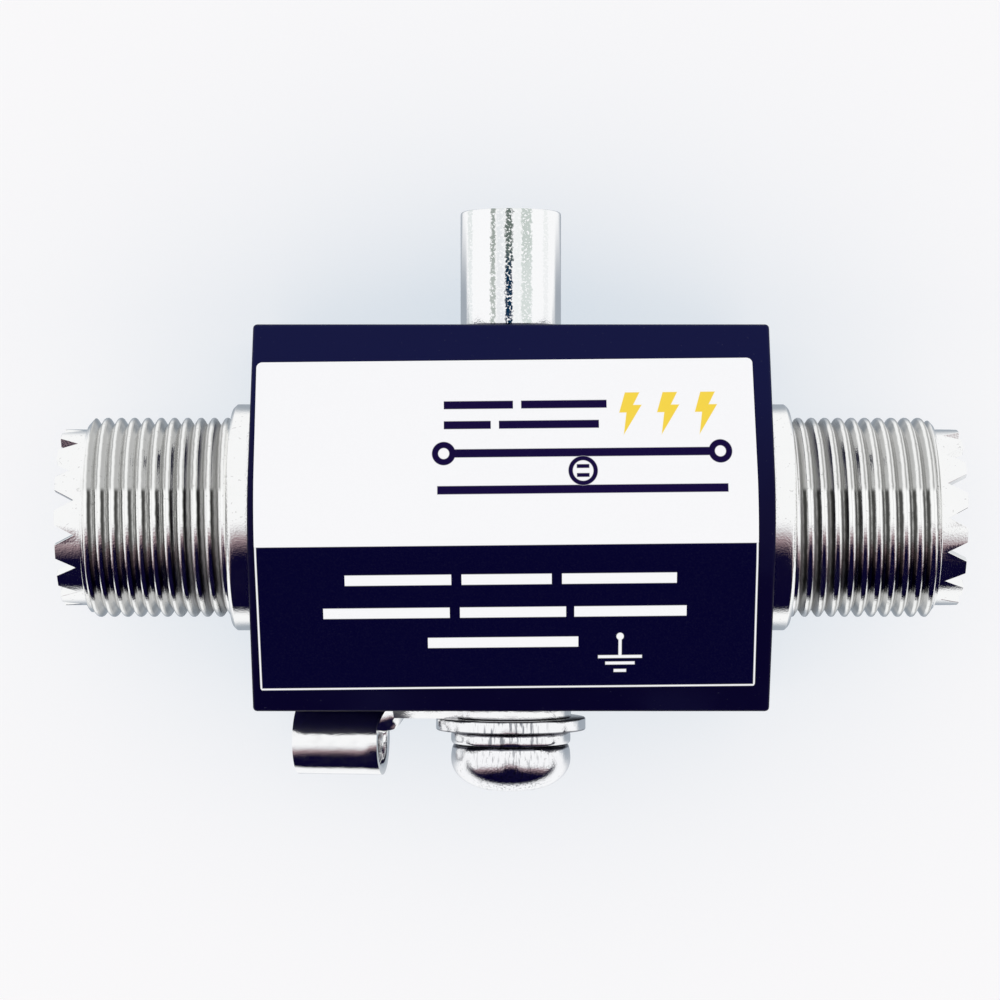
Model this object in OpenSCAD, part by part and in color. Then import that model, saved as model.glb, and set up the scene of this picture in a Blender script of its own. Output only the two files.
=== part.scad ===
// In-line coaxial lightning arrestor: two threaded sockets on a gabled metal block, a replaceable
// gas discharge tube under a screw cap, and a ground terminal with a crimp lug.
// The back face lies on Z = 0, the coaxial axis runs along X, the cap points along +Y
// and the labelled gable faces +Z. All sizes are in millimetres.

/* [Housing] */
// Length of the block along the coaxial axis
body_l = 40; // [34:0.5:60]
// Height of the block, from the ground terminal's face to the cap's face
body_h = 30; // [25:0.5:44]
// Depth of the block at the ridge of its gabled front
body_ridge_d = 25; // [23:0.5:32]
// Depth of the block at the upper and lower edges of its front
body_edge_d = 19; // [17:0.5:21]
// Radius of the rounded ridge
ridge_r = 9; // [7:0.5:12]
// Height of the coaxial axis above the back face
axis_h = 12; // [11:0.25:13]
// Broken edge all round the block
edge_break = 0.35; // [0.1:0.05:0.8]

/* [Label] */
// Thickness of the printed film
label_t = 0.12; // [0.08:0.01:0.3]
// Bare metal left at each end of the film
label_side = 0.85; // [0.4:0.05:3]
// Bare metal left above and below the film
label_end = 2.35; // [1:0.05:6]
// Corner radius of the film
label_corner_r = 0.5; // [0.2:0.1:2]
// How far the film sits off centre along X
label_shift_x = -0.3; // [-0.4:0.05:0.4]
// How far the film sits off centre along Y
label_shift_y = -0.45; // [-0.5:0.05:0.5]
// Slight turn of the film, as it was laid on by hand
label_skew = 0.57; // [-1:0.01:1]

/* [Coaxial line] */
// Bore of the block around the line conductor
line_bore = 10; // [9.5:0.1:12]
// Diameter of the line conductor
line_rod_d = 4.35; // [3.6:0.05:5.2]
// Metal around the gas tube's seat on the line conductor
land_wall = 0.85; // [0.6:0.05:1]
// Depth of the seat pocket below the land's crown
pocket_depth = 1.6; // [1:0.1:2]

/* [Connectors] */
// Major diameter of the coupling thread, 5/8 inch
thread_d = 15.875; // [13:0.005:20]
// Length of the coupling thread
thread_l = 11.4; // [9:0.1:16]
// Chamfer at the end of the coupling thread
thread_break = 0.45; // [0.2:0.05:0.6]
// Step from the thread's crest out to the flange's rim
flange_step = 1.06; // [0.8:0.02:3]
// Thickness of the flange against the block
flange_t = 2; // [1:0.1:4]
// Chamfer on the flange's outer rim
flange_break = 0.3; // [0.1:0.05:0.5]
// Step from the thread's crest down to the toothed nose
nose_step = 0.94; // [0.7:0.02:1.2]
// Plain length of the nose between thread and teeth
nose_l = 0.55; // [0.3:0.05:2]
// Wall of the toothed nose
nose_wall = 0.85; // [0.6:0.05:1]
// Number of teeth, an even number
teeth = 16; // [12:2:20]
// Height of a tooth
tooth_h = 1.5; // [1:0.1:2.5]
// Flat land on a tooth's tip
tooth_land = 1.15; // [0.6:0.05:1.4]
// Depth of the open mouth behind the tooth tips
mouth_depth = 8.9; // [7:0.1:9.5]
// Thickness of the lip that holds the insulator
lip_t = 1; // [0.6:0.1:1.5]
// Diameter of the threaded shank in the block
shank_d = 13.5; // [12.5:0.1:15]
// Length of the threaded shank in the block
shank_l = 7; // [5:0.1:8]
// Wall of the shank
shank_wall = 1; // [0.8:0.05:1.2]

/* [Insulator and contact] */
// Diameter of the insulator's boss in the mouth
boss_d = 8.7; // [8:0.1:9]
// How far the boss ends behind the roots of the teeth
boss_back = 1; // [0.5:0.1:3]
// Thickness of the insulator's disc behind the lip
disc_t = 3.4; // [2.5:0.1:4]
// Thickness of the ring that holds the insulator in the shank
ring_t = 2; // [1:0.1:2.5]
// Bore of the centre contact
contact_bore = 4; // [3.2:0.1:4.8]
// Wall of the centre contact
contact_wall = 0.7; // [0.4:0.05:0.8]
// Depth of the centre contact's bore
contact_depth = 7.4; // [6:0.1:7.5]
// How far the contact stands out of the boss
contact_proud = 0.3; // [0.1:0.1:0.8]
// Width of the contact's four slots
slot_w = 0.4; // [0.2:0.05:0.7]
// Length of the contact's four slots
slot_l = 5.8; // [3:0.1:6]
// Diameter of the contact's threaded tail
tail_d = 3; // [2:0.1:3.2]
// Length of the tail inside the line conductor
tail_l = 4; // [2:0.1:5]

/* [Gas tube] */
// Diameter of the ceramic tube
tube_d = 5.5; // [4.5:0.1:6.6]
// Length of the gas tube over its electrodes
tube_l = 6; // [5:0.1:7.2]
// Thickness of each electrode's outer disc
electrode_t = 0.9; // [0.5:0.05:1.2]
// Step from the ceramic in to the electrode's rim
electrode_step = 0.25; // [0.1:0.05:0.4]
// Wall of the ceramic tube
ceramic_wall = 0.95; // [0.7:0.05:1.1]
// Spark gap between the electrodes' studs
spark_gap = 0.9; // [0.6:0.1:1.5]
// Running gap between the ceramic and the block
tube_gap = 0.35; // [0.2:0.05:0.5]

/* [Cap] */
// Height of the cap above the block
cap_h = 9.3; // [6:0.1:14]
// Step from the cap's thread out to its shoulder
cap_step = 0.5; // [0.3:0.05:1.2]
// Step from the tube's bore out to the cap's thread
cap_thread_step = 0.4; // [0.3:0.05:0.8]
// Depth of the spring's bore inside the cap
cap_bore_depth = 10; // [8:0.1:11]
// Chamfer on the cap's outer rim
cap_break = 0.25; // [0.1:0.05:0.6]
// Gap between the pressure disc and the cap's end
cap_gap = 0.8; // [0.5:0.1:2]

/* [Contact spring] */
// Outer diameter of the spring
spring_d = 4.3; // [3.8:0.1:4.3]
// Diameter of the spring's wire
wire_d = 0.5; // [0.35:0.05:0.6]
// Working turns of the spring
spring_turns = 7; // [4:1:9]
// Thickness of the pressure disc's rim
plate_t = 1; // [0.6:0.1:1.5]
// Length of the pressure disc's spigot in the spring
spigot_l = 1.6; // [1:0.1:3]

/* [Ground terminal] */
// Diameter of the ground screw's thread
screw_d = 5; // [4:0.5:6]
// Height of the screw's head
head_h = 3.65; // [2.8:0.05:4.4]
// Step from the screw's thread out to its head
head_step = 2.25; // [1.8:0.05:3]
// Depth of the cross recess
recess_depth = 2.3; // [1.5:0.1:2.5]
// Width of the cross recess across its wings
recess_w = 4.9; // [4:0.1:5.4]
// Metal left between the tip of the screw's drilled hole and the line bore
screw_floor = 0.8; // [0.6:0.05:2]
// Thickness of the spring washer
spring_washer_t = 1.15; // [0.8:0.05:1.6]
// Split in the spring washer
spring_washer_split = 0.9; // [0.5:0.1:1.5]
// Thickness of the flat washer
washer_t = 1; // [0.8:0.05:1.6]
// Step from the screw's thread out to the flat washer's rim
washer_step = 3.45; // [2.5:0.05:4.5]

/* [Ground lug] */
// Thickness of the lug's sheet
lug_t = 0.9; // [0.6:0.05:1.2]
// Width of metal around the lug's hole
lug_ring_w = 2.15; // [1.5:0.05:2.4]
// Outer diameter of the crimp barrel
barrel_d = 5.6; // [4.6:0.1:6.7]
// Length of the crimp barrel
barrel_l = 6.85; // [5:0.05:12]
// Distance from the flat washer's rim to the barrel's mouth
barrel_gap = 4.4; // [3:0.1:6]
// Half width of the tongue where it starts to curl
tongue_half_w = 2.9; // [2:0.1:3.2]
// Turn of the lug about the screw, away from the coaxial axis
lug_turn = -8.7; // [-15:0.1:15]

/* [Hidden] */

// Facets on turned surfaces, and on the small ones
$fn = 96;
small_fn = 32;

// Clearances: threads and running fits, pressed-in parts, and holes passed by the screw
thread_fit = 0.03;
snug_fit = 0.02;
contact_fit = 0.1;
screw_pass = 0.15;
// Gaps left around the boss in the lip, the studs in the ceramic, and the spring on either side
boss_gap = 0.25;
stud_gap = 0.5;
spring_gap = 0.2;
spigot_gap = 0.15;
// Overshoot of a cutting tool past the face that it cuts, and of a cone that ends on that face
over = 1;
hair = 0.001;
// Chamfer on small turned edges
small_break = 0.2;

// Front of the block: the slope that joins both edges to the round ridge
half_h = body_h / 2;
ridge_rise = body_ridge_d - body_edge_d;
slope = asin(ridge_r / sqrt(pow(half_h, 2) + pow(ridge_r - ridge_rise, 2)))
        - atan2(ridge_r - ridge_rise, half_h);
ridge_z = body_ridge_d - ridge_r;

// Outward stations of a connector, measured from the middle of the block
seat_u = body_l / 2;
thread_u = seat_u + flange_t;
nose_u = thread_u + thread_l;
root_u = nose_u + nose_l;
tip_u = root_u + tooth_h;
mouth_u = tip_u - mouth_depth;
lip_u = mouth_u - lip_t;
disc_u = lip_u - disc_t;
ring_u = disc_u - ring_t;
shank_u = seat_u - shank_l;
boss_u = root_u - boss_back;

flange_d = thread_d + 2 * flange_step;
nose_d = thread_d - 2 * nose_step;
mouth_d = nose_d - 2 * nose_wall;
shank_bore = shank_d - 2 * shank_wall;
lip_bore = boss_d + 2 * boss_gap;
tooth_pitch = 360 / teeth;
notch_w = PI * nose_d / teeth - tooth_land;

contact_d = contact_bore + 2 * contact_wall;
contact_u = boss_u + contact_proud;
contact_floor_u = contact_u - contact_depth;
contact_seat_u = disc_u + disc_t / 2;
tail_u = disc_u - tail_l;

// Heights along +Y, from the line conductor out to the cap
electrode_d = tube_d - 2 * electrode_step;
pocket_d = tube_d + 2 * snug_fit;
land_d = tube_d + 2 * land_wall;
tube_y = land_d / 2 - pocket_depth;
ceramic_l = tube_l - 2 * electrode_t;
ceramic_bore = tube_d - 2 * ceramic_wall;
stud_d = ceramic_bore - 2 * stud_gap;
stud_l = (ceramic_l - spark_gap) / 2;
plate_y = tube_y + tube_l;
spring_y = plate_y + plate_t;
cap_end_y = spring_y + cap_gap;
tube_bore = tube_d + 2 * tube_gap;
plate_d = tube_d;
cap_thread_d = tube_bore + 2 * cap_thread_step;
cap_d = cap_thread_d + 2 * cap_step;
cap_bore = spring_d + 2 * spring_gap;
spring_top_y = cap_end_y + cap_bore_depth;
spring_l = spring_top_y - spring_y;
spigot_d = spring_d - 2 * wire_d - 2 * spigot_gap;

// Heights below the block, outward along -Y
washer_y = lug_t;
spring_washer_y = washer_y + washer_t;
head_y = spring_washer_y + spring_washer_t;
head_d = screw_d + 2 * head_step;
screw_hole = screw_d + 2 * screw_pass;
screw_tip_gap = 0.75;
drill_half_angle = 59;
drill_tip = screw_d / 2 / tan(drill_half_angle);
screw_reach = half_h - line_bore / 2 - screw_floor - drill_tip - screw_tip_gap;
washer_d = screw_d + 2 * washer_step;

lug_ring_d = screw_hole + 2 * lug_ring_w;
barrel_u = washer_d / 2 + barrel_gap;
neck_l = 1.35;
neck_u = barrel_u - neck_l;
neck_root = 0.2;
barrel_drop = 0.05;
// The curl of the neck lies this far inside the sheet's faces, so that it ends within the barrel's wall
curl_inset = 0.1;

black_paint = [0.06, 0.05, 0.14];
film_white = [0.96, 0.96, 0.97];
nickel = [0.80, 0.81, 0.83];
ptfe = [0.93, 0.92, 0.88];
bronze = [0.78, 0.62, 0.34];
brass_rod = [0.80, 0.68, 0.38];
alumina = [0.94, 0.93, 0.90];
spring_steel = [0.62, 0.63, 0.65];

// Bar along +Z that starts at z0 and ends at z1
module bar(d, z0, z1) {
    translate([0, 0, z0]) cylinder(d = d, h = z1 - z0);
}

// Solid turned about +Z; each station gives a diameter and its height
module turned(stations) {
    last = len(stations) - 1;
    rotate_extrude() polygon(concat([[0, stations[0][1]]],
        [for (s = stations) [s[0] / 2, s[1]]], [[0, stations[last][1]]]));
}

// Bar with a chamfer on its far rim
module bar_broken(d, z0, z1, c) {
    turned([[d, z0], [d, z1 - c], [d - 2 * c, z1]]);
}

// Turns a shape made outward along +Z onto an end of the coaxial axis
module on_left() {
    translate([0, 0, axis_h]) rotate([0, -90, 0]) children();
}

module on_right() {
    translate([0, 0, axis_h]) rotate([0, 90, 0]) children();
}

// Turns a shape made along +Z to point along +Y from the coaxial axis
module towards_cap() {
    translate([0, 0, axis_h]) rotate([-90, 0, 0]) children();
}

// Turns a shape made along +Z to point down from the ground terminal's face
module towards_ground() {
    translate([0, -half_h, axis_h]) rotate([90, 0, 0]) children();
}

// Line of the gabled front seen along X, moved outward by t: a slope, the round ridge, a slope
function gable_front(t) =
    let (steps = 12, edge_z = body_edge_d + t / cos(slope), r = ridge_r + t)
    concat([[-half_h, edge_z]],
           [for (i = [-steps : steps]) let (a = slope * i / steps) [r * sin(a), ridge_z + r * cos(a)]],
           [[half_h, edge_z]]);

function reversed(points) = [for (i = [len(points) - 1 : -1 : 0]) points[i]];

// Extrudes an outline in the YZ plane over the length of the block
module along_block() {
    rotate([90, 0, 90]) translate([0, 0, -body_l / 2]) linear_extrude(body_l) children();
}

// Rectangle with its corners cut at 45 degrees
module broken_rectangle(w, h, c) {
    polygon([[-w / 2 + c, -h / 2], [w / 2 - c, -h / 2], [w / 2, -h / 2 + c], [w / 2, h / 2 - c],
             [w / 2 - c, h / 2], [-w / 2 + c, h / 2], [-w / 2, h / 2 - c], [-w / 2, -h / 2 + c]]);
}

module housing() {
    shank_relief = 0.3;
    cap_relief = 0.2;
    color(black_paint) difference() {
        intersection() {
            along_block() polygon(concat(gable_front(0), [[half_h, 0], [-half_h, 0]]));
            translate([0, 0, -over])
                linear_extrude(body_ridge_d + 2 * over) broken_rectangle(body_l, body_h, edge_break);
        }
        on_right() bar(line_bore, -seat_u, seat_u);
        on_left() bar(shank_d + 2 * thread_fit, shank_u - shank_relief, seat_u + over);
        on_right() bar(shank_d + 2 * thread_fit, shank_u - shank_relief, seat_u + over);
        towards_cap() bar(tube_bore, 0, half_h - over);
        towards_cap() bar(cap_thread_d + 2 * thread_fit, cap_end_y - cap_relief, half_h + over);
        towards_ground() {
            bar(screw_d + 2 * thread_fit, -screw_reach - screw_tip_gap, over);
            translate([0, 0, -screw_reach - screw_tip_gap - drill_tip])
                cylinder(d1 = 0, d2 = screw_d, h = drill_tip);
        }
    }
}

module face_label() {
    w = body_l - 2 * label_side;
    h = body_h - 2 * label_end;
    color(film_white) intersection() {
        along_block() polygon(concat(gable_front(label_t), reversed(gable_front(0))));
        translate([label_shift_x, label_shift_y, body_edge_d / 2]) rotate([0, 0, label_skew])
            linear_extrude(body_ridge_d) hull()
                for (sx = [-1, 1], sy = [-1, 1])
                    translate([sx * (w / 2 - label_corner_r), sy * (h / 2 - label_corner_r)])
                        circle(label_corner_r, $fn = small_fn);
    }
}

// Turned shell: flange, coupling thread at its major diameter, toothed nose and threaded shank
module connector_shell(tooth_turn) {
    color(nickel) difference() {
        turned([[shank_d, shank_u], [shank_d, seat_u],
                [flange_d, seat_u], [flange_d, thread_u - flange_break],
                [flange_d - 2 * flange_break, thread_u],
                [thread_d, thread_u], [thread_d, nose_u - thread_break],
                [thread_d - 2 * thread_break, nose_u],
                [nose_d, nose_u], [nose_d, tip_u]]);
        bar(shank_bore, shank_u - over, lip_u);
        bar(lip_bore, lip_u - over, mouth_u + over);
        bar(mouth_d, mouth_u, tip_u + over);
        rotate(tooth_turn) tooth_notches();
    }
}

// V cuts straight across the nose, each leaving two opposite notches
module tooth_notches() {
    flare = notch_w / tooth_h;
    for (i = [0 : teeth / 2 - 1])
        rotate(i * tooth_pitch) translate([nose_d / 2 + over, 0, root_u]) rotate([0, -90, 0])
            linear_extrude(nose_d + 2 * over)
                polygon([[0, 0], [tooth_h + over, flare * (tooth_h + over) / 2],
                         [tooth_h + over, -flare * (tooth_h + over) / 2]]);
}

// Moulded insulator: a disc behind the shell's lip and a boss up into the mouth
module insulator() {
    boss_break = 0.3;
    disc_d = shank_bore - 2 * snug_fit;
    color(ptfe) difference() {
        turned([[disc_d, disc_u], [disc_d, lip_u],
                [boss_d, lip_u], [boss_d, boss_u - boss_break], [boss_d - 2 * boss_break, boss_u]]);
        bar(contact_d + 2 * contact_fit, contact_seat_u, boss_u + over);
        bar(tail_d + 2 * contact_fit, disc_u - over, contact_seat_u + over);
    }
}

module retaining_ring() {
    color(bronze) difference() {
        bar(shank_bore - 2 * snug_fit, ring_u, disc_u);
        bar(line_bore, ring_u - over, disc_u + over);
    }
}

// Slotted socket with a threaded tail that draws it down on the insulator
module centre_contact() {
    mouth_break = 0.2;
    color(bronze) difference() {
        turned([[tail_d, tail_u], [tail_d, contact_seat_u],
                [contact_d, contact_seat_u], [contact_d, contact_u - mouth_break],
                [contact_d - 2 * mouth_break, contact_u]]);
        bar(contact_bore, contact_floor_u, contact_u + over);
        translate([0, 0, contact_u - mouth_break])
            cylinder(d1 = contact_bore, d2 = contact_bore + 2 * mouth_break, h = mouth_break + hair);
        for (a = [45, 135])
            rotate(a) translate([-contact_d, -slot_w / 2, contact_u - slot_l])
                cube([2 * contact_d, slot_w, slot_l + over]);
    }
}

// Turned rod with a thicker land in the middle, spot-faced for the gas tube's end
module line_conductor() {
    tail_depth = tail_l + 0.5;
    land_u = land_d / 2;
    color(brass_rod) difference() {
        on_right() turned([[line_rod_d, -disc_u], [line_rod_d, -land_u], [land_d, -land_u],
                           [land_d, land_u], [line_rod_d, land_u], [line_rod_d, disc_u]]);
        towards_cap() bar(pocket_d, tube_y, land_d);
        on_left() bar(tail_d + 2 * thread_fit, disc_u - tail_depth, disc_u + over);
        on_right() bar(tail_d + 2 * thread_fit, disc_u - tail_depth, disc_u + over);
    }
}

module gas_tube_ceramic() {
    y0 = tube_y + electrode_t;
    color(alumina) towards_cap() difference() {
        bar(tube_d, y0, y0 + ceramic_l);
        bar(ceramic_bore, y0 - over, y0 + ceramic_l + over);
    }
}

// Electrode made outward along +Z: outer disc first, then the stud that faces the spark gap
module electrode() {
    end = electrode_t + stud_l;
    turned([[electrode_d, 0], [electrode_d, electrode_t], [stud_d, electrode_t],
            [stud_d, end - small_break], [stud_d - 2 * small_break, end]]);
}

module gas_tube_line_electrode() {
    color(nickel) towards_cap() translate([0, 0, tube_y]) electrode();
}

module gas_tube_cap_electrode() {
    color(nickel) towards_cap() translate([0, 0, plate_y]) rotate([180, 0, 0]) electrode();
}

module pressure_disc() {
    end = spring_y + spigot_l;
    color(brass_rod) towards_cap()
        turned([[plate_d, plate_y], [plate_d, spring_y], [spigot_d, spring_y],
                [spigot_d, end - small_break], [spigot_d - 2 * small_break, end]]);
}

// Round wire wound in a helix, its end turns closed so that they seat flat
module contact_spring() {
    sides = 8;
    steps = 16;
    dead = 0.75;
    turns = spring_turns + 2 * dead;
    coil_r = (spring_d - wire_d) / 2;
    rings = turns * steps;
    lift = spring_l - wire_d - 2 * dead * wire_d;
    // Height of the wire's centre after t turns
    function rise(t) =
        wire_d / 2 + wire_d * (min(t, dead) + max(t - turns + dead, 0))
        + lift * min(max(t - dead, 0), spring_turns) / spring_turns;
    points = [for (i = [0 : rings], j = [0 : sides - 1])
        let (a = 360 * i / steps, b = 360 * j / sides, r = coil_r + wire_d / 2 * cos(b))
        [r * cos(a), r * sin(a), rise(i / steps) + wire_d / 2 * sin(b)]];
    walls = [for (i = [0 : rings - 1], j = [0 : sides - 1])
        let (k = (j + 1) % sides)
        [i * sides + j, i * sides + k, (i + 1) * sides + k, (i + 1) * sides + j]];
    foot = [for (j = [sides - 1 : -1 : 0]) j];
    head = [for (j = [0 : sides - 1]) rings * sides + j];
    color(spring_steel) towards_cap() translate([0, 0, spring_y])
        polyhedron(points, concat(walls, [foot, head]), convexity = 10);
}

module gas_tube_cap() {
    top = half_h + cap_h;
    color(nickel) towards_cap() difference() {
        turned([[cap_thread_d, cap_end_y], [cap_thread_d, half_h],
                [cap_d, half_h], [cap_d, top - cap_break], [cap_d - 2 * cap_break, top]]);
        bar(cap_bore, cap_end_y - over, spring_top_y);
    }
}

// Places a shape made in the lug's own frame: X out along the barrel, Y in the sheet's plane,
// Z down from the block
module at_lug() {
    translate([0, -half_h, axis_h]) rotate([0, lug_turn, 0]) rotate([90, 0, 0])
        mirror([1, 0, 0]) children();
}

// Sheet that curls from the flat tongue into the round of the barrel, swept as a thin band
module lug_curl() {
    steps = 10;
    across = 16;
    // The neck keeps the tongue's width, so it wraps only part of the way round the barrel
    mid_r = (barrel_d - lug_t) / 2;
    start_u = neck_u - neck_root;
    end_u = barrel_u + neck_root;
    half_t = lug_t / 2 - curl_inset;
    function ease(t) = t * t * (3 - 2 * t);
    // Point of the band at step i along, j across, on the side given by s
    function band(i, j, s) = let (
        t = i / steps,
        bend = max(ease(t), hair),
        r = mid_r / bend,
        arc = tongue_half_w * (2 * j / across - 1),
        a = arc / r * 180 / PI)
        [start_u + (end_u - start_u) * t,
         (r + s * half_t) * sin(a),
         lug_t / 2 + barrel_drop * ease(t) + r - (r + s * half_t) * cos(a)];
    row = 2 * (across + 1);
    points = [for (i = [0 : steps]) each concat(
        [for (j = [0 : across]) band(i, j, 1)], [for (j = [across : -1 : 0]) band(i, j, -1)])];
    walls = [for (i = [0 : steps - 1], j = [0 : row - 1])
        [i * row + j, i * row + (j + 1) % row, (i + 1) * row + (j + 1) % row, (i + 1) * row + j]];
    ends = [for (e = [0, steps], j = [0 : across - 1])
        let (q = [e * row + j, e * row + row - 1 - j, e * row + row - 2 - j, e * row + j + 1])
        e == 0 ? [q[3], q[2], q[1], q[0]] : q];
    polyhedron(points, concat(walls, ends), convexity = 6);
}

module ground_lug() {
    entry_break = 0.35;
    barrel_bore = barrel_d - 2 * lug_t;
    // The tongue's sides run from just inside the ring's rim to the neck
    root_a = 59;
    root_r = lug_ring_d / 2 - 0.1;
    root = root_r * [cos(root_a), sin(root_a)];
    tongue = [root, [neck_u, tongue_half_w], [neck_u, -tongue_half_w], [root[0], -root[1]]];
    color(nickel) at_lug() difference() {
        union() {
            bar(lug_ring_d, 0, lug_t);
            linear_extrude(lug_t) polygon(tongue);
            lug_curl();
            translate([barrel_u, 0, barrel_drop + barrel_d / 2]) rotate([0, 90, 0])
                difference() {
                    bar_broken(barrel_d, 0, barrel_l, small_break);
                    bar(barrel_bore, -over, barrel_l + over);
                    translate([0, 0, barrel_l - entry_break])
                        cylinder(d1 = barrel_bore, d2 = barrel_bore + 2 * entry_break,
                                 h = entry_break + hair);
                }
        }
        bar(screw_hole, -over, lug_t + over);
    }
}

module flat_washer() {
    color(nickel) towards_ground() difference() {
        bar_broken(washer_d, washer_y, spring_washer_y, small_break);
        bar(screw_hole, washer_y - over, spring_washer_y + over);
    }
}

// Helical spring washer, clamped flat, with its split on the side away from the front
module spring_washer() {
    inner_r = screw_hole / 2;
    outer_r = head_d / 2;
    round_r = 0.3;
    split_turn = -130;
    split_tilt = 25;
    t = spring_washer_t;
    section = [
        for (a = [180 : 30 : 270]) [inner_r + round_r + round_r * cos(a), round_r + round_r * sin(a)],
        for (a = [270 : 30 : 360]) [outer_r - round_r + round_r * cos(a), round_r + round_r * sin(a)],
        for (a = [0 : 30 : 90]) [outer_r - round_r + round_r * cos(a), t - round_r + round_r * sin(a)],
        for (a = [90 : 30 : 180]) [inner_r + round_r + round_r * cos(a), t - round_r + round_r * sin(a)]];
    color(nickel) towards_ground() translate([0, 0, spring_washer_y]) difference() {
        rotate_extrude() polygon(section);
        rotate(split_turn) translate([inner_r + head_step / 2, 0, t / 2]) rotate([split_tilt, 0, 0])
            cube([2 * head_step, spring_washer_split, 3 * t], center = true);
    }
}

// Stations of the pan head above its seat, out round the rim and over the crown
function pan_head(d, h) =
    let (tuck = 0.5, rim_z = 1.15, crown_d = 2.4)
    concat(
        [for (a = [0 : 22.5 : 67.5]) [d - tuck * (1 - sin(a)), head_y + rim_z * (1 - cos(a))]],
        [for (a = [0 : 10 : 90])
            [crown_d + (d - crown_d) * cos(a), head_y + rim_z + (h - rim_z) * sin(a)]]);

// Wing of the cross recess, tapering to its foot
module recess_wing() {
    wing_t = 1.1;
    foot_t = 0.77;
    foot_w = recess_w * 0.42;
    slice = 0.01;
    rise = 0.2;
    hull() {
        translate([0, 0, head_h - recess_depth]) cube([foot_w, foot_t, slice], center = true);
        translate([0, 0, head_h + rise]) cube([recess_w, wing_t, slice], center = true);
    }
}

module ground_screw() {
    tip_break = 0.5;
    color(nickel) towards_ground() difference() {
        turned(concat([[screw_d - 2 * tip_break, -screw_reach], [screw_d, tip_break - screw_reach],
                       [screw_d, head_y]], pan_head(head_d, head_h)));
        for (a = [45, 135]) translate([0, 0, head_y]) rotate(a) recess_wing();
    }
}

housing();
face_label();
on_left() connector_shell(tooth_pitch / 2);  // left_connector_shell
on_right() connector_shell(0);  // right_connector_shell
on_left() insulator();  // left_insulator
on_right() insulator();  // right_insulator
on_left() retaining_ring();  // left_retaining_ring
on_right() retaining_ring();  // right_retaining_ring
on_left() centre_contact();  // left_centre_contact
on_right() centre_contact();  // right_centre_contact
line_conductor();
gas_tube_ceramic();
gas_tube_line_electrode();
gas_tube_cap_electrode();
pressure_disc();
contact_spring();
gas_tube_cap();
ground_lug();
flat_washer();
spring_washer();
ground_screw();
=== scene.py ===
"""Visual model of an in-line coaxial lightning arrestor, built around its CAD frame.

Pieces are modelled in millimetres on a bench at the origin, then scaled to metres and moved to their
place in the frame: back face on Z = 0, coaxial axis along X at AXIS_Z, cap towards +Y.
"""

import logging
import math
from contextlib import contextmanager
from dataclasses import dataclass
from enum import Enum
from typing import Callable, Iterator, Sequence

import bmesh
import bpy
from mathutils import Matrix, Vector


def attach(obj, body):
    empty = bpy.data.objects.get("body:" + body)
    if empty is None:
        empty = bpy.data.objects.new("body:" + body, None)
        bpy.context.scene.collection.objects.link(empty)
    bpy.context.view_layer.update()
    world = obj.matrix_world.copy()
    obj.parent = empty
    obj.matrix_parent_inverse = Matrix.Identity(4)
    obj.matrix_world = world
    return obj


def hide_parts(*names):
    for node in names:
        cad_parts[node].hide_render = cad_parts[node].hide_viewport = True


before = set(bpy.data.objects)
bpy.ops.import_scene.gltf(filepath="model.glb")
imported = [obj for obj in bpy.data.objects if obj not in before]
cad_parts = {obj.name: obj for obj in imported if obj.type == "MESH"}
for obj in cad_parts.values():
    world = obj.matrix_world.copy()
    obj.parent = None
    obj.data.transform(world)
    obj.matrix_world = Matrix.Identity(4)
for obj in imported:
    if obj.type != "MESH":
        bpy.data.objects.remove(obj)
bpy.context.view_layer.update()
LOG = logging.getLogger("arrestor")

MM = 0.001
AXIS_Z = 12.0
HALF_HEIGHT = 15.0
FINE, COARSE = 128, 48

Colour = tuple[float, float, float, float]


def tint(red: float, green: float, blue: float) -> Colour:
    """Linear colour of a display colour given in parts of 255."""
    shares = (part / 255 for part in (red, green, blue))
    return (*(((s + 0.055) / 1.055) ** 2.4 if s > 10 / 255 else s / 12.92 for s in shares), 1.0)


def darker(colour: Colour, share: float) -> Colour:
    """A colour dimmed to a share of its light."""
    return (*(share * c for c in colour[:3]), 1.0)


def turned_by(degrees: float, axis: str) -> Matrix:
    """A turn about an axis."""
    return Matrix.Rotation(math.radians(degrees), 4, axis)


def coaxial(degrees: float) -> Matrix:
    """From a piece made along Z to one on the coaxial axis, turned by an angle about Y."""
    return Matrix.Translation((0, 0, AXIS_Z)) @ turned_by(degrees, "Y")


# ---- bench: primitives and edit-mode operators ----


class Pick(Enum):
    """What an edit selects."""

    VERT = "VERT"
    EDGE = "EDGE"
    FACE = "FACE"


@dataclass(frozen=True)
class Spot:
    """Middle and normal of a vertex, edge or face, for tests that select."""

    at: Vector
    normal: Vector


Test = Callable[[Spot], bool]
Station = tuple[float, float]


def ring_outline(inner: float, outer: float, low: float, high: float) -> list[Station]:
    """Closed outline of a flat ring, as radius and height."""
    return [(inner, low), (outer, low), (outer, high), (inner, high), (inner, low)]


def activate(obj: bpy.types.Object) -> None:
    """Makes obj the only selected object."""
    bpy.ops.object.select_all(action="DESELECT")
    obj.select_set(True)
    bpy.context.view_layer.objects.active = obj


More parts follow.
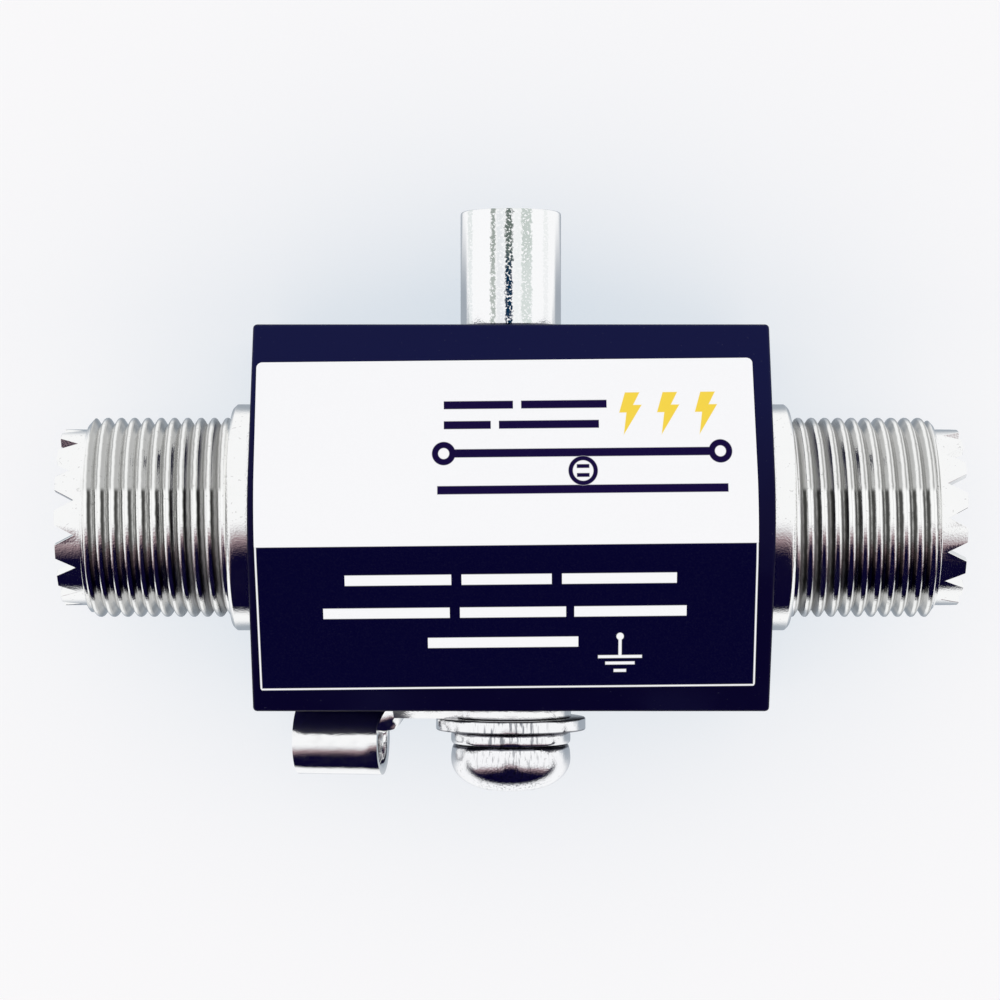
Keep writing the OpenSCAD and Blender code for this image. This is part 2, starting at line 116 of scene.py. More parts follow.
def softened(outline: Sequence[Station], radius: float, steps: int = 3) -> list[Station]:
    """Rounds the corners of an open outline.

    Args:
        outline: points of the outline.
        radius: length cut from each side of a corner, at most 45% of that side.
        steps: pieces of each rounded corner.

    Returns:
        The outline with an arc of points in place of each corner.
    """
    points = [Vector(p) for p in outline]
    result = [tuple(points[0])]
    for before, corner, after in zip(points, points[1:], points[2:]):
        back, ahead = before - corner, after - corner
        if back.length < 1e-6 or ahead.length < 1e-6 or abs(math.pi - back.angle(ahead)) < 0.3:
            result.append(tuple(corner))
            continue
        cut = min(radius, 0.45 * back.length, 0.45 * ahead.length)
        start, end = corner + back.normalized() * cut, corner + ahead.normalized() * cut
        for i in range(steps + 1):
            t = i / steps
            result.append(tuple(start * (1 - t) ** 2 + corner * 2 * t * (1 - t) + end * t * t))
    result.append(tuple(points[-1]))
    return result


@dataclass(frozen=True)
class Thread:
    """A right-hand screw thread, cut on a rod along Z."""

    major: float
    pitch: float
    depth: float
    crest_at: float = 0.0
    """Height of a crest where the helix crosses the local X axis."""
    flank: float = 57.0
    """How steeply the rounded crest falls off at its end, in degrees."""
    crest_share: float = 0.2
    """Half width of the rounded crest, as a share of the pitch."""

    def ridge(self) -> list[Station]:
        """Outline of one ridge, from root to root, as radius and height."""
        steep = math.radians(self.flank)
        reach = self.crest_share * self.pitch
        bend = reach / math.sin(steep)
        angles = [steep * i / 4 for i in range(4, -1, -1)]
        arc = [(bend * math.sin(a), bend * (1 - math.cos(a))) for a in angles]
        half = [(0.5 * self.pitch, self.depth), (0.46 * self.pitch, 0.95 * self.depth), *arc]
        shape = [(-z, drop) for z, drop in half] + [(z, drop) for z, drop in reversed(half[:-1])]
        return [(self.major / 2 - drop, self.pitch / 2 + z) for z, drop in shape]


class Workpiece:
    """A mesh on the bench, in millimetres, with the operators that shape it."""

    def __init__(self, obj: bpy.types.Object) -> None:
        """Takes over an object whose place is already in its mesh."""
        self.obj = obj

    @classmethod
    def started(cls) -> "Workpiece":
        """Takes over the primitive that was just added, and puts its place in its mesh."""
        obj = bpy.context.object
        activate(obj)
        bpy.ops.object.transform_apply(location=True, rotation=True, scale=True)
        return cls(obj)

    @classmethod
    def block(cls, low: Sequence[float], high: Sequence[float]) -> "Workpiece":
        """A box from its lowest to its highest corner."""
        size = [b - a for a, b in zip(low, high)]
        middle = [(a + b) / 2 for a, b in zip(low, high)]
        bpy.ops.mesh.primitive_cube_add(size=1, location=middle, scale=size)
        return cls.started()

    @classmethod
    def rod(cls, radius: float, low: float, high: float, segments: int = COARSE) -> "Workpiece":
        """A plain round bar along Z."""
        bpy.ops.mesh.primitive_cylinder_add(
            vertices=segments, radius=radius, depth=high - low, location=(0, 0, (low + high) / 2)
        )
        return cls.started()

    @classmethod
    def plate(cls, outline: Sequence[Station], low: float, high: float) -> "Workpiece":
        """A flat outline in X and Y, extruded along Z from low to high."""
        bpy.ops.mesh.primitive_circle_add(vertices=len(outline), radius=1, fill_type="NGON")
        piece = cls.started()
        for vertex, (x, y) in zip(piece.obj.data.vertices, outline):
            vertex.co = (x, y, low)
        with piece.edit(Pick.FACE):
            bpy.ops.mesh.extrude_region_move(TRANSFORM_OT_translate={"value": (0, 0, high - low)})
        piece.face_outwards()
        return piece

    @classmethod
    def turned(cls, stations: Sequence[Station], segments: int = FINE) -> "Workpiece":
        """A turned solid along Z: a circle, extruded and resized from station to station.

        Args:
            stations: radius and height of each ring. Where the last equals the first, the solid is a
                ring with a hole, and otherwise both ends are closed flat.
            segments: facets round the axis.

        Returns:
            The closed solid.
        """
        radius, height = stations[0]
        bpy.ops.mesh.primitive_circle_add(vertices=segments, radius=radius, location=(0, 0, height))
        piece = cls.started()
        hollow = stations[0] == stations[-1]
        with piece.edit():
            if not hollow:
                bpy.ops.mesh.edge_face_add()
            for new_radius, new_height in stations[1:]:
                bpy.ops.mesh.extrude_region_move(
                    TRANSFORM_OT_translate={"value": (0, 0, new_height - height)}
                )
                scale = new_radius / radius
                bpy.ops.transform.resize(value=(scale, scale, 1), center_override=(0, 0, new_height))
                radius, height = new_radius, new_height
            bpy.ops.mesh.select_all(action="SELECT")
            bpy.ops.mesh.remove_doubles(threshold=1e-4)
        piece.face_outwards()
        return piece

    @classmethod
    def chain(cls, points: Sequence[Sequence[float]]) -> "Workpiece":
        """An open line of vertices, extruded from the first point to the last."""
        bpy.ops.mesh.primitive_plane_add(size=1)
        piece = cls.started()
        with piece.edit():
            bpy.ops.mesh.merge(type="CENTER")
            bpy.ops.mesh.select_all(action="SELECT")
            bpy.ops.transform.translate(value=points[0])
            for here, there in zip(points, points[1:]):
                step = [b - a for a, b in zip(here, there)]
                bpy.ops.mesh.extrude_region_move(TRANSFORM_OT_translate={"value": step})
        return piece

    @classmethod
    def threaded(cls, thread: Thread, low: float, high: float, steps: int = 72) -> "Workpiece":
        """A threaded rod along Z, swept as one ridge along its helix and cut off at both ends.

        Args:
            thread: the thread to cut.
            low: height of the lower end.
            high: height of the upper end.
            steps: facets of each turn.

        Returns:
            The closed rod.
        """
        pitch = thread.pitch
        start = thread.crest_at - pitch / 2 + pitch * (math.floor((low - thread.crest_at) / pitch) - 1)
        piece = cls.chain([(r, 0, start + z) for r, z in thread.ridge()])
        piece.modify(
            "SCREW", axis="Z", screw_offset=pitch, iterations=math.ceil((high - start) / pitch) + 1,
            steps=steps, render_steps=steps,
        )
        with piece.edit():
            bpy.ops.mesh.remove_doubles(threshold=1e-3)
            for height, side in ((low, -1), (high, 1)):
                bpy.ops.mesh.select_all(action="SELECT")
                bpy.ops.mesh.bisect(
                    plane_co=(0, 0, height), plane_no=(0, 0, side), use_fill=True, clear_outer=True
                )
        piece.face_outwards()
        return piece

    @contextmanager
    def edit(self, pick: Pick = Pick.VERT) -> Iterator[None]:
        """Edit mode with everything selected.

        Args:
            pick: whether vertices, edges or faces are selected.

        Yields:
            Nothing; edit mode ends with the block.
        """
        activate(self.obj)
        bpy.ops.object.mode_set(mode="EDIT")
        bpy.ops.mesh.select_mode(type=pick.value)
        bpy.ops.mesh.select_all(action="SELECT")
        yield
        bpy.ops.object.mode_set(mode="OBJECT")

    def select(self, pick: Pick, test: Test) -> None:
        """Selects, in edit mode, what the test picks by place and normal.

        Args:
            pick: whether vertices, edges or faces are tested.
            test: says of a spot whether it is selected.
        """
        bpy.ops.mesh.select_mode(type=pick.value)
        bpy.ops.mesh.select_all(action="DESELECT")
        mesh = bmesh.from_edit_mesh(self.obj.data)
        if pick is Pick.VERT:
            items = [(v, v.co, v.normal) for v in mesh.verts]
        elif pick is Pick.EDGE:
            items = [
                (e, (e.verts[0].co + e.verts[1].co) / 2, (e.verts[1].co - e.verts[0].co).normalized())
                for e in mesh.edges
            ]
        else:
            items = [(f, f.calc_center_median(), f.normal) for f in mesh.faces]
        for item, at, normal in items:
            if test(Spot(at, normal)):
                item.select_set(True)
        mesh.select_flush_mode()
        bmesh.update_edit_mesh(self.obj.data)

    def face_outwards(self) -> "Workpiece":
        """Merges doubles and turns every face outwards."""
        with self.edit():
            bpy.ops.mesh.remove_doubles(threshold=1e-5)
            bpy.ops.mesh.normals_make_consistent(inside=False)
        return self

    def modify(self, kind: str, **settings: object) -> "Workpiece":
        """Adds a modifier and applies it.

        Args:
            kind: Blender's name for the modifier.
            **settings: its properties.

        Returns:
            This piece.
        """
        activate(self.obj)
        modifier = self.obj.modifiers.new(kind.title(), kind)
        for name, value in settings.items():
            setattr(modifier, name, value)
        bpy.ops.object.modifier_apply(modifier=modifier.name)
        return self

    def cut(self, *tools: "Workpiece") -> "Workpiece":
        """Cuts each tool out of this piece and scraps the tool."""
        for tool in tools:
            self.modify("BOOLEAN", operation="DIFFERENCE", solver="EXACT", object=tool.obj)
            tool.scrap()
        return self

    def keep_inside(self, envelope: "Workpiece") -> "Workpiece":
        """Keeps what lies inside the envelope and scraps the envelope."""
        self.modify("BOOLEAN", operation="INTERSECT", solver="EXACT", object=envelope.obj)
        envelope.scrap()
        return self

    def soften_edges(self, width: float, segments: int = 2, angle: float = 40) -> "Workpiece":
        """Rounds every edge that is sharper than an angle in degrees."""
        return self.modify(
            "BEVEL", width=width, segments=segments, limit_method="ANGLE", angle_limit=math.radians(angle),
            use_clamp_overlap=True, harden_normals=False,
        )

    def move(self, matrix: Matrix) -> "Workpiece":
        """Moves the mesh by a matrix, and keeps its faces outwards if the matrix mirrors it."""
        self.obj.data.transform(matrix)
        if matrix.determinant() < 0:
            self.obj.data.flip_normals()
        return self

    def copy(self) -> "Workpiece":
        """A second piece with a mesh of its own."""
        obj = self.obj.copy()
        obj.data = self.obj.data.copy()
        bpy.context.collection.objects.link(obj)
        return Workpiece(obj)

    def join(self, *others: "Workpiece") -> "Workpiece":
        """Joins other pieces into this one."""
        activate(self.obj)
        for other in others:
            other.obj.select_set(True)
        bpy.ops.object.join()
        return self

    def scrap(self) -> None:
        """Deletes the piece."""
        bpy.data.objects.remove(self.obj, do_unlink=True)

    def finish(
        self, name: str, body: str, nodes: Sequence[str], slot: str, look: bpy.types.Material,
        smooth: float = 30,
    ) -> bpy.types.Object:
        """Brings the piece to metres and makes it part of the object.

        Args:
            name: the piece's name.
            body: the CAD body that it rides on.
            nodes: the CAD nodes that it stands for.
            slot: the record's material slot; not used.
            look: its material.
            smooth: angle in degrees below which edges are shaded smooth.

        Returns:
            The finished object.
        """
        self.obj.data.transform(Matrix.Scale(MM, 4))
        activate(self.obj)
        bpy.ops.object.shade_smooth_by_angle(angle=math.radians(smooth))
        self.obj.name = self.obj.data.name = name
        self.obj.data.materials.clear()
        self.obj.data.materials.append(look)
        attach(self.obj, body)
        if nodes:
            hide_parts(*nodes)
        LOG.info("%s: %d faces, rides on %s", name, len(self.obj.data.polygons), body)
        return self.obj


# ---- shader graphs ----


class Sock:
    """An output of a shader node, or a plain number, that takes part in Python arithmetic."""

    def __init__(self, graph: "Graph", link: bpy.types.NodeSocket) -> None:
        """Wraps one output socket of a graph."""
        self.graph, self.link = graph, link

    def other(self, name: str) -> "Sock":
        """Another output of the same node."""
        return Sock(self.graph, self.link.node.outputs[name])

    def math(self, operation: str, *values: "Sock | float") -> "Sock":
        """A Math node on this value and others."""
        return self.graph.node("Math", {"operation": operation}, dict(enumerate((self, *values))))

    def __add__(self, value: "Sock | float") -> "Sock":
        """Sum."""
        return self.math("ADD", value)

    __radd__ = __add__

    def __sub__(self, value: "Sock | float") -> "Sock":
        """Difference."""
        return self.math("SUBTRACT", value)

    def __rsub__(self, value: float) -> "Sock":
        """Difference from a number."""
        return self.graph.node("Math", {"operation": "SUBTRACT"}, {0: value, 1: self})

    def __mul__(self, value: "Sock | float") -> "Sock":
        """Product."""
        return self.math("MULTIPLY", value)

    __rmul__ = __mul__

    def __abs__(self) -> "Sock":
        """Size without sign."""
        return self.math("ABSOLUTE")

    def hypot(self, value: "Sock") -> "Sock":
        """Length of a vector with this part and another."""
        return (self * self + value * value).math("SQRT")

    def least(self, value: "Sock | float") -> "Sock":
        """The smaller of two."""
        return self.math("MINIMUM", value)

    def most(self, value: "Sock | float") -> "Sock":
        """The larger of two."""
        return self.math("MAXIMUM", value)

    def step(self, low: float, high: float) -> "Sock":
        """Runs smoothly from 0 at low to 1 at high, where low may be the larger."""
        return self.graph.node(
            "MapRange", {"interpolation_type": "SMOOTHSTEP"}, {0: self, 1: low, 2: high, 3: 0.0, 4: 1.0},
        )

    def between(self, low: float, high: float, soft: float) -> "Sock":
        """1 between two values and 0 outside, with soft edges."""
        return self.step(low - soft, low + soft) * self.step(high + soft, high - soft)


class Graph:
    """The node tree of a material or world, emptied and ready to fill."""

    def __init__(self, owner: bpy.types.Material | bpy.types.World) -> None:
        """Empties the tree of an owner."""
        owner.use_nodes = True
        self.tree = owner.node_tree
        self.tree.nodes.clear()

    def node(
        self, kind: str, settings: dict | None = None, sockets: dict | None = None, output: int | str = 0
    ) -> Sock:
        """Makes a node.

        Args:
            kind: Blender's type name, without its leading ShaderNode.
            settings: properties of the node, set first; "stops" fills a colour ramp.
            sockets: values or links of its inputs, by name or number.
            output: which output to return.

        Returns:
            The chosen output.
        """
        made = self.tree.nodes.new("ShaderNode" + kind)
        for name, value in (settings or {}).items():
            if name == "stops":
                self._fill_ramp(made.color_ramp, value)
            elif name == "interpolation":
                made.color_ramp.interpolation = value
            else:
                setattr(made, name, value)
        for key, value in (sockets or {}).items():
            if isinstance(value, Sock):
                self.tree.links.new(value.link, made.inputs[key])
            else:
                made.inputs[key].default_value = value
        return Sock(self, made.outputs[output]) if len(made.outputs) else None

    @staticmethod
    def _fill_ramp(ramp: bpy.types.ColorRamp, stops: Sequence[tuple[float, Colour]]) -> None:
        """Sets the stops of a colour ramp."""
        while len(ramp.elements) > 1:
            ramp.elements.remove(ramp.elements[-1])
        ramp.elements[0].position, ramp.elements[0].color = stops[0]
        for place, colour in stops[1:]:
            ramp.elements.new(place).color = colour

    def place(self) -> Sock:
        """Object coordinates in millimetres, as a vector."""
        point = self.node("TexCoord", output="Object")
        return self.node("VectorMath", {"operation": "SCALE"}, {0: point, "Scale": 1 / MM})

    def split(self, vector: Sock) -> tuple[Sock, Sock, Sock]:
        """The three parts of a vector."""
        x = self.node("SeparateXYZ", sockets={0: vector}, output="X")
        return x, x.other("Y"), x.other("Z")

    def noise(
        self, vector: Sock, scale: float, detail: float = 2, stretch: Sequence[float] = (1, 1, 1)
    ) -> Sock:
        """Noise between 0 and 1 at a scale per millimetre, stretched along the axes."""
        if tuple(stretch) != (1, 1, 1):
            vector = self.node("Mapping", sockets={"Vector": vector, "Scale": stretch})
        return self.node("TexNoise", sockets={"Vector": vector, "Scale": scale, "Detail": detail})

    def blend(self, factor: Sock | float, base: Sock | Colour, over: Sock | Colour) -> Sock:
        """Mixes two colours."""
        return self.node("Mix", {"data_type": "RGBA"}, {0: factor, 6: base, 7: over}, output=2)

    def rings(self, measure: Sock, scale: float) -> Sock:
        """Noise between 0 and 1 over a single measure, as turning leaves it."""
        settings = {"noise_dimensions": "1D"}
        return self.node("TexNoise", settings, {"W": measure, "Scale": scale, "Detail": 2.0})

    def bump(self, height: Sock) -> Sock:
        """Normal of a surface with a height in millimetres."""
        return self.node("Bump", sockets={"Height": height, "Strength": 1.0, "Distance": MM})

    def emission(self, colour: Sock | Colour) -> Sock:
        """Light of a colour, at strength 1."""
        return self.node("Emission", sockets={"Color": colour, "Strength": 1.0})

    def mixed(self, factor: Sock, base: Sock, over: Sock) -> Sock:
        """Mixes two shaders."""
        return self.node("MixShader", sockets={0: factor, 1: base, 2: over})


@dataclass(frozen=True)
class Finish:
    """A procedural material; each kind says what feeds its Principled shader."""

    name: str

    def inputs(self, graph: Graph, place: Sock) -> dict[str, object]:
        """What feeds the shader, by input name, from object coordinates in millimetres."""
        raise NotImplementedError

    def material(self) -> bpy.types.Material:
        """Makes the material."""
        material = bpy.data.materials.new(self.name)
        graph = Graph(material)
        shader = graph.node("BsdfPrincipled", sockets=self.inputs(graph, graph.place()))
        graph.node("OutputMaterial", sockets={"Surface": shader})
        return material


# ---- finishes ----


class Axis(Enum):
    """Axis that a piece was turned about."""

    COAX = "X"
    UPRIGHT = "Y"


def greys(*stops: tuple[float, float]) -> list[tuple[float, Colour]]:
    """Stops of a ramp of greys, from pairs of place and display level in parts of 255."""
    return [(place, tint(level, level, level - 2)) for place, level in stops]


@dataclass(frozen=True)
class ThreadPaintedShine:
    """Plating of a coupling thread along the coaxial axis, dull in the groove, with painted reflections: a
    painted highlight on one flank and painted dark reflections in the groove.

    Places on the ridge are shares of a turn, outward from the start of the painted highlight on the bright
    flank.
    """

    thread: Thread
    start: float
    end: float
    flipped: bool
    """Whether the thread's local X axis points down."""
    painted_highlight_at: float = -0.12
    # Start of the painted highlight on the bright flank, as a share of a turn outward from the crest.
    """Start of the bright flank, as a share of a turn outward from the crest."""
    painted_dark_band: tuple[float, float] = (-5.9, 2.2)
    # Heights between which the front takes the darker ramp, a painted reflection of the room's dark side.
    """Heights between which the front is darkened by handling."""
    burnish: float = 0.42
    """How far the plating has filled and rounded the groove, as a share of its depth."""
    # Ramps of painted reflection round the ridge, as place and grey level: plain off the front band, dark
    # in it.
    plain: Sequence[tuple[float, float]] = (
        (0.0, 196), (0.05, 240), (0.17, 248), (0.24, 205), (0.30, 160), (0.40, 235),
        (0.48, 225), (0.58, 180), (0.68, 200), (0.76, 186), (0.92, 184), (1.0, 196),
    )
    dark: Sequence[tuple[float, float]] = (
        (0.0, 200), (0.04, 252), (0.21, 252), (0.24, 222), (0.27, 252), (0.42, 252), (0.46, 175),
        (0.52, 130), (0.57, 205), (0.66, 225), (0.72, 180), (0.78, 105), (0.86, 66), (0.94, 84), (1.0, 200),
    )

    def painted_shine_and_relief(
        self, graph: Graph, x: Sock, y: Sock, up: Sock, base: Sock, height: Sock
    ) -> tuple[Sock, Sock, Sock]:
        """Painted reflections as colour, with the relief and dullness of the plating.

        Args:
            graph: the material's graph.
            x: place along the coaxial axis.
            y: place across it.
            up: height above it.
            base: colour off the thread.
            height: relief off the thread.

        Returns:
            The colour with painted reflections on its ridges and grooves, the relief with the thread's own,
            and its dullness.
        """
        turn = y.math("ARCTAN2", up * (-1.0 if self.flipped else 1.0)) * (0.5 / math.pi)
        outward = abs(x)
        from_crest = (outward - self.thread.crest_at) * (1 / self.thread.pitch) - turn
        waver = graph.noise(graph.place(), 1.3, 2) * 0.10 - 0.05
        share = (from_crest - self.painted_highlight_at + waver).math("FRACT")
        # Painted reflections: the ramps turn each place on the ridge into highlight or dark reflection.
        plain = graph.node("ValToRGB", {"stops": greys(*self.plain)}, {"Fac": share})
        dark = graph.node("ValToRGB", {"stops": greys(*self.dark)}, {"Fac": share})
        # Painted reflection of the room's dark side, on a band across the front.
        low, high = self.painted_dark_band
        front = y.between(low, high, 0.25) * up.step(-1.0, 1.0)
        radius = y.hypot(up)
        there = outward.between(self.start + 0.3, self.end - 0.3, 0.1) * radius.step(7.0, 7.2)
        groove = (1 - (from_crest * (2 * math.pi)).math("COSINE")) * 0.5 * there
        filling = groove * (self.burnish * self.thread.depth)
        dull = groove * outward.step(self.start + 6.0, self.start + 2.0) * 0.45
        return graph.blend(there, base, graph.blend(front, plain, dark)), height + filling, dull


@dataclass(frozen=True)
class TurnedMetal(Finish):
    """Metal turned on a lathe and plated: fine rings, faint pits and clouded gloss."""

    colour: Colour
    axis: Axis
    centre_z: float = AXIS_Z
    roughness: float = 0.07
    ring_depth: float = 0.0015
    grain_depth: float = 0.006
    pits: float = 0.2
    streaks: float = 0.0
    seams: Sequence[float] = ()
    painted_shine_and_relief: ThreadPaintedShine | None = None

    def inputs(self, graph: Graph, place: Sock) -> dict[str, object]:
        """What feeds the shader."""
        x, y, z = graph.split(place)
        along, across = (x, y) if self.axis is Axis.COAX else (y, x)
        depth = z - self.centre_z
        radius = across.hypot(depth)
        rings = graph.rings(along + radius, 9.0)
        grain = graph.noise(place, 7.0, 3)
        cloud = graph.noise(place, 0.8, 2)
        pit = graph.noise(place, 3.2, 1).step(0.31, 0.27) * self.pits
        colour = graph.blend(cloud * 0.2, self.colour, darker(self.colour, 0.9))
        height = rings * self.ring_depth + grain * self.grain_depth
        if self.streaks:
            # Polishing streaks down the middle, painted dark as a reflection of the room's dark side.
            dark_streaks = graph.noise(place, 1.0, 3, (5.0, 0.7, 5.0)).step(0.50, 0.66)
            dark_streaks = dark_streaks * abs(across).step(3.6, 1.2)
            colour = graph.blend(dark_streaks * self.streaks, colour, (0.10, 0.11, 0.14, 1.0))
        # Painted contact shade: a dark navy line round each seam between stacked parts.
        for seam in self.seams:
            joint_shade = abs(along - seam + cloud * 0.1 - 0.05).step(0.2, 0.07)
            colour = graph.blend(joint_shade * 0.9, colour, (0.008, 0.010, 0.035, 1.0))
        rough = cloud.step(0.35, 0.7) * (0.5 * self.roughness) + self.roughness * 0.5
        # The thread's painted reflections, with its relief and its dullness.
        if self.painted_shine_and_relief:
            colour, height, dull = self.painted_shine_and_relief.painted_shine_and_relief(graph, x, y, depth, colour, height)
            rough = rough + dull
        colour = graph.blend(pit, colour, (0.12, 0.11, 0.10, 1.0))
        normal = graph.bump(height)
        return {"Base Color": colour, "Metallic": 1.0, "Roughness": rough + pit * 0.3, "Normal": normal}


@dataclass(frozen=True)
class CapReflection:
    """A painted reflection: a ragged streak along the polished cap, in one colour over its upper part and
    one over its lower.
    """

    from_angle: float
    to_angle: float
    """Both in degrees from straight up, towards +X."""
    upper: Colour
    lower: Colour
    strength: float = 1.0


@dataclass(frozen=True)
class PolishedCap(Finish):
    """Cap polished along its length, with painted reflections as ragged streaks on its upper side."""

    colour: Colour = (0.97, 0.97, 0.97, 1.0)
    middle: float = 19.6
    # Painted reflections of the room round the cap; the darkest is the room's dark side.
    painted_reflections: Sequence[CapReflection] = (
        CapReflection(-58, -50, tint(215, 222, 220), tint(222, 228, 228), 0.6),
        CapReflection(-23.5, -18, tint(140, 150, 143), tint(168, 176, 170), 0.9),
        CapReflection(-16.5, -8, tint(224, 228, 230), tint(228, 230, 232), 0.7),
        CapReflection(-6.4, 1.6, tint(104, 116, 110), tint(8, 44, 72)),
        CapReflection(3.5, 11, tint(236, 240, 238), tint(236, 240, 240), 0.6),
        CapReflection(12, 24, tint(190, 200, 194), tint(210, 218, 214), 0.9),
        CapReflection(40, 47, tint(232, 236, 234), tint(236, 238, 238), 0.6),
    )

    def inputs(self, graph: Graph, place: Sock) -> dict[str, object]:
        """What feeds the shader."""
        x, y, z = graph.split(place)
        depth = z - AXIS_Z
        radius = x.hypot(depth)
        angle = x.math("ARCTAN2", depth) * (180 / math.pi)
        rag = graph.noise(place, 3.6, 4) * 9.0 - 4.5
        speck = graph.noise(place, 5.5, 3)
        barrel = radius.step(3.6, 3.8)
        lift = (y - self.middle) * 0.2
        upper_share = (lift + (speck - 0.5) * 2.2).step(-0.25, 0.35)
        colour = self.colour
        # Each painted reflection is blended in, patchy, on the barrel only.
        for smear in self.painted_reflections:
            tone = graph.blend(upper_share, smear.lower, smear.upper)
            width = (smear.to_angle - smear.from_angle) / 2
            middle = (smear.to_angle + smear.from_angle) / 2
            core = (abs(angle + rag - middle) - width).step(1.2, -1.2)
            patchy = speck.step(0.62, 0.54)
            colour = graph.blend(core * patchy * barrel * smear.strength, colour, tone)
        rings = graph.rings(radius, 7.0)
        faced = 1 - barrel
        colour = graph.blend(rings.step(0.3, 0.7) * faced * 0.25, colour, (0.72, 0.73, 0.75, 1.0))
        rough = 0.05 + speck * 0.05 + faced * 0.12
        normal = graph.bump(graph.noise(place, 7.0, 2) * 0.004 + rings * faced * 0.012)
        return {"Base Color": colour, "Metallic": 1.0, "Roughness": rough, "Normal": normal}


@dataclass(frozen=True)
class PressedMetal(Finish):
    """Plated sheet metal: soft dents and a mottled gloss."""

    colour: Colour
    roughness: float = 0.1
    dent_depth: float = 0.02

    def inputs(self, graph: Graph, place: Sock) -> dict[str, object]:
        """What feeds the shader."""
        mottle = graph.noise(place, 1.6, 3)
        dents = graph.noise(place, 1.1, 2, (0.6, 1, 1))
        grain = graph.noise(place, 11.0, 2)
        stain = graph.noise(place, 0.5, 2).step(0.5, 0.75)
        colour = graph.blend(stain * 0.4, self.colour, darker(self.colour, 0.8))
        rough = mottle.step(0.35, 0.75) * self.roughness + 0.04
        normal = graph.bump(dents * self.dent_depth + grain * 0.006)
        return {"Base Color": colour, "Metallic": 1.0, "Roughness": rough, "Normal": normal}


@dataclass(frozen=True)
class Lacquer(Finish):
    """Thin dark lacquer: orange peel, dust, a rubbed sheen, and a painted sheen that lightens the side
    towards +Y.
    """

    colour: Colour
    painted_sheen: Colour

    def inputs(self, graph: Graph, place: Sock) -> dict[str, object]:
        """What feeds the shader."""
        peel = graph.noise(place, 2.4, 2)
        fine = graph.noise(place, 18.0, 2)
        rubbed = graph.noise(place, 0.12, 3).step(0.42, 0.7)
        dust = graph.noise(place, 5.0, 1).step(0.74, 0.80) * 0.25
        _, y, _ = graph.split(place)
        # Painted sheen: lighter towards +Y, where the upper slope catches more light.
        colour = graph.blend(y.step(-3.0, 13.0), self.colour, self.painted_sheen)
        colour = graph.blend(rubbed * 0.2, colour, tint(16, 18, 62))
        colour = graph.blend(dust, colour, tint(70, 72, 92))
        rough = 0.3 + rubbed * 0.12 + fine * 0.08
        normal = graph.bump(peel * 0.008 + fine * 0.002)
        return {"Base Color": colour, "Roughness": rough, "Specular IOR Level": 0.06, "Normal": normal}


@dataclass(frozen=True)
class Moulded(Finish):
    """Moulded or sintered insulator: faint flow marks, fine grain and soft depth."""

    colour: Colour
    roughness: float = 0.4
    grain: float = 6.0

    def inputs(self, graph: Graph, place: Sock) -> dict[str, object]:
        """What feeds the shader."""
        flow = graph.noise(place, 0.7, 3)
        grain = graph.noise(place, self.grain, 3)
        colour = graph.blend(flow.step(0.35, 0.75) * 0.5, self.colour, darker(self.colour, 0.9))
        rough = self.roughness + grain * 0.15 - 0.07
        return {"Base Color": colour, "Roughness": rough, "Normal": graph.bump(grain * 0.01 + flow * 0.01)}


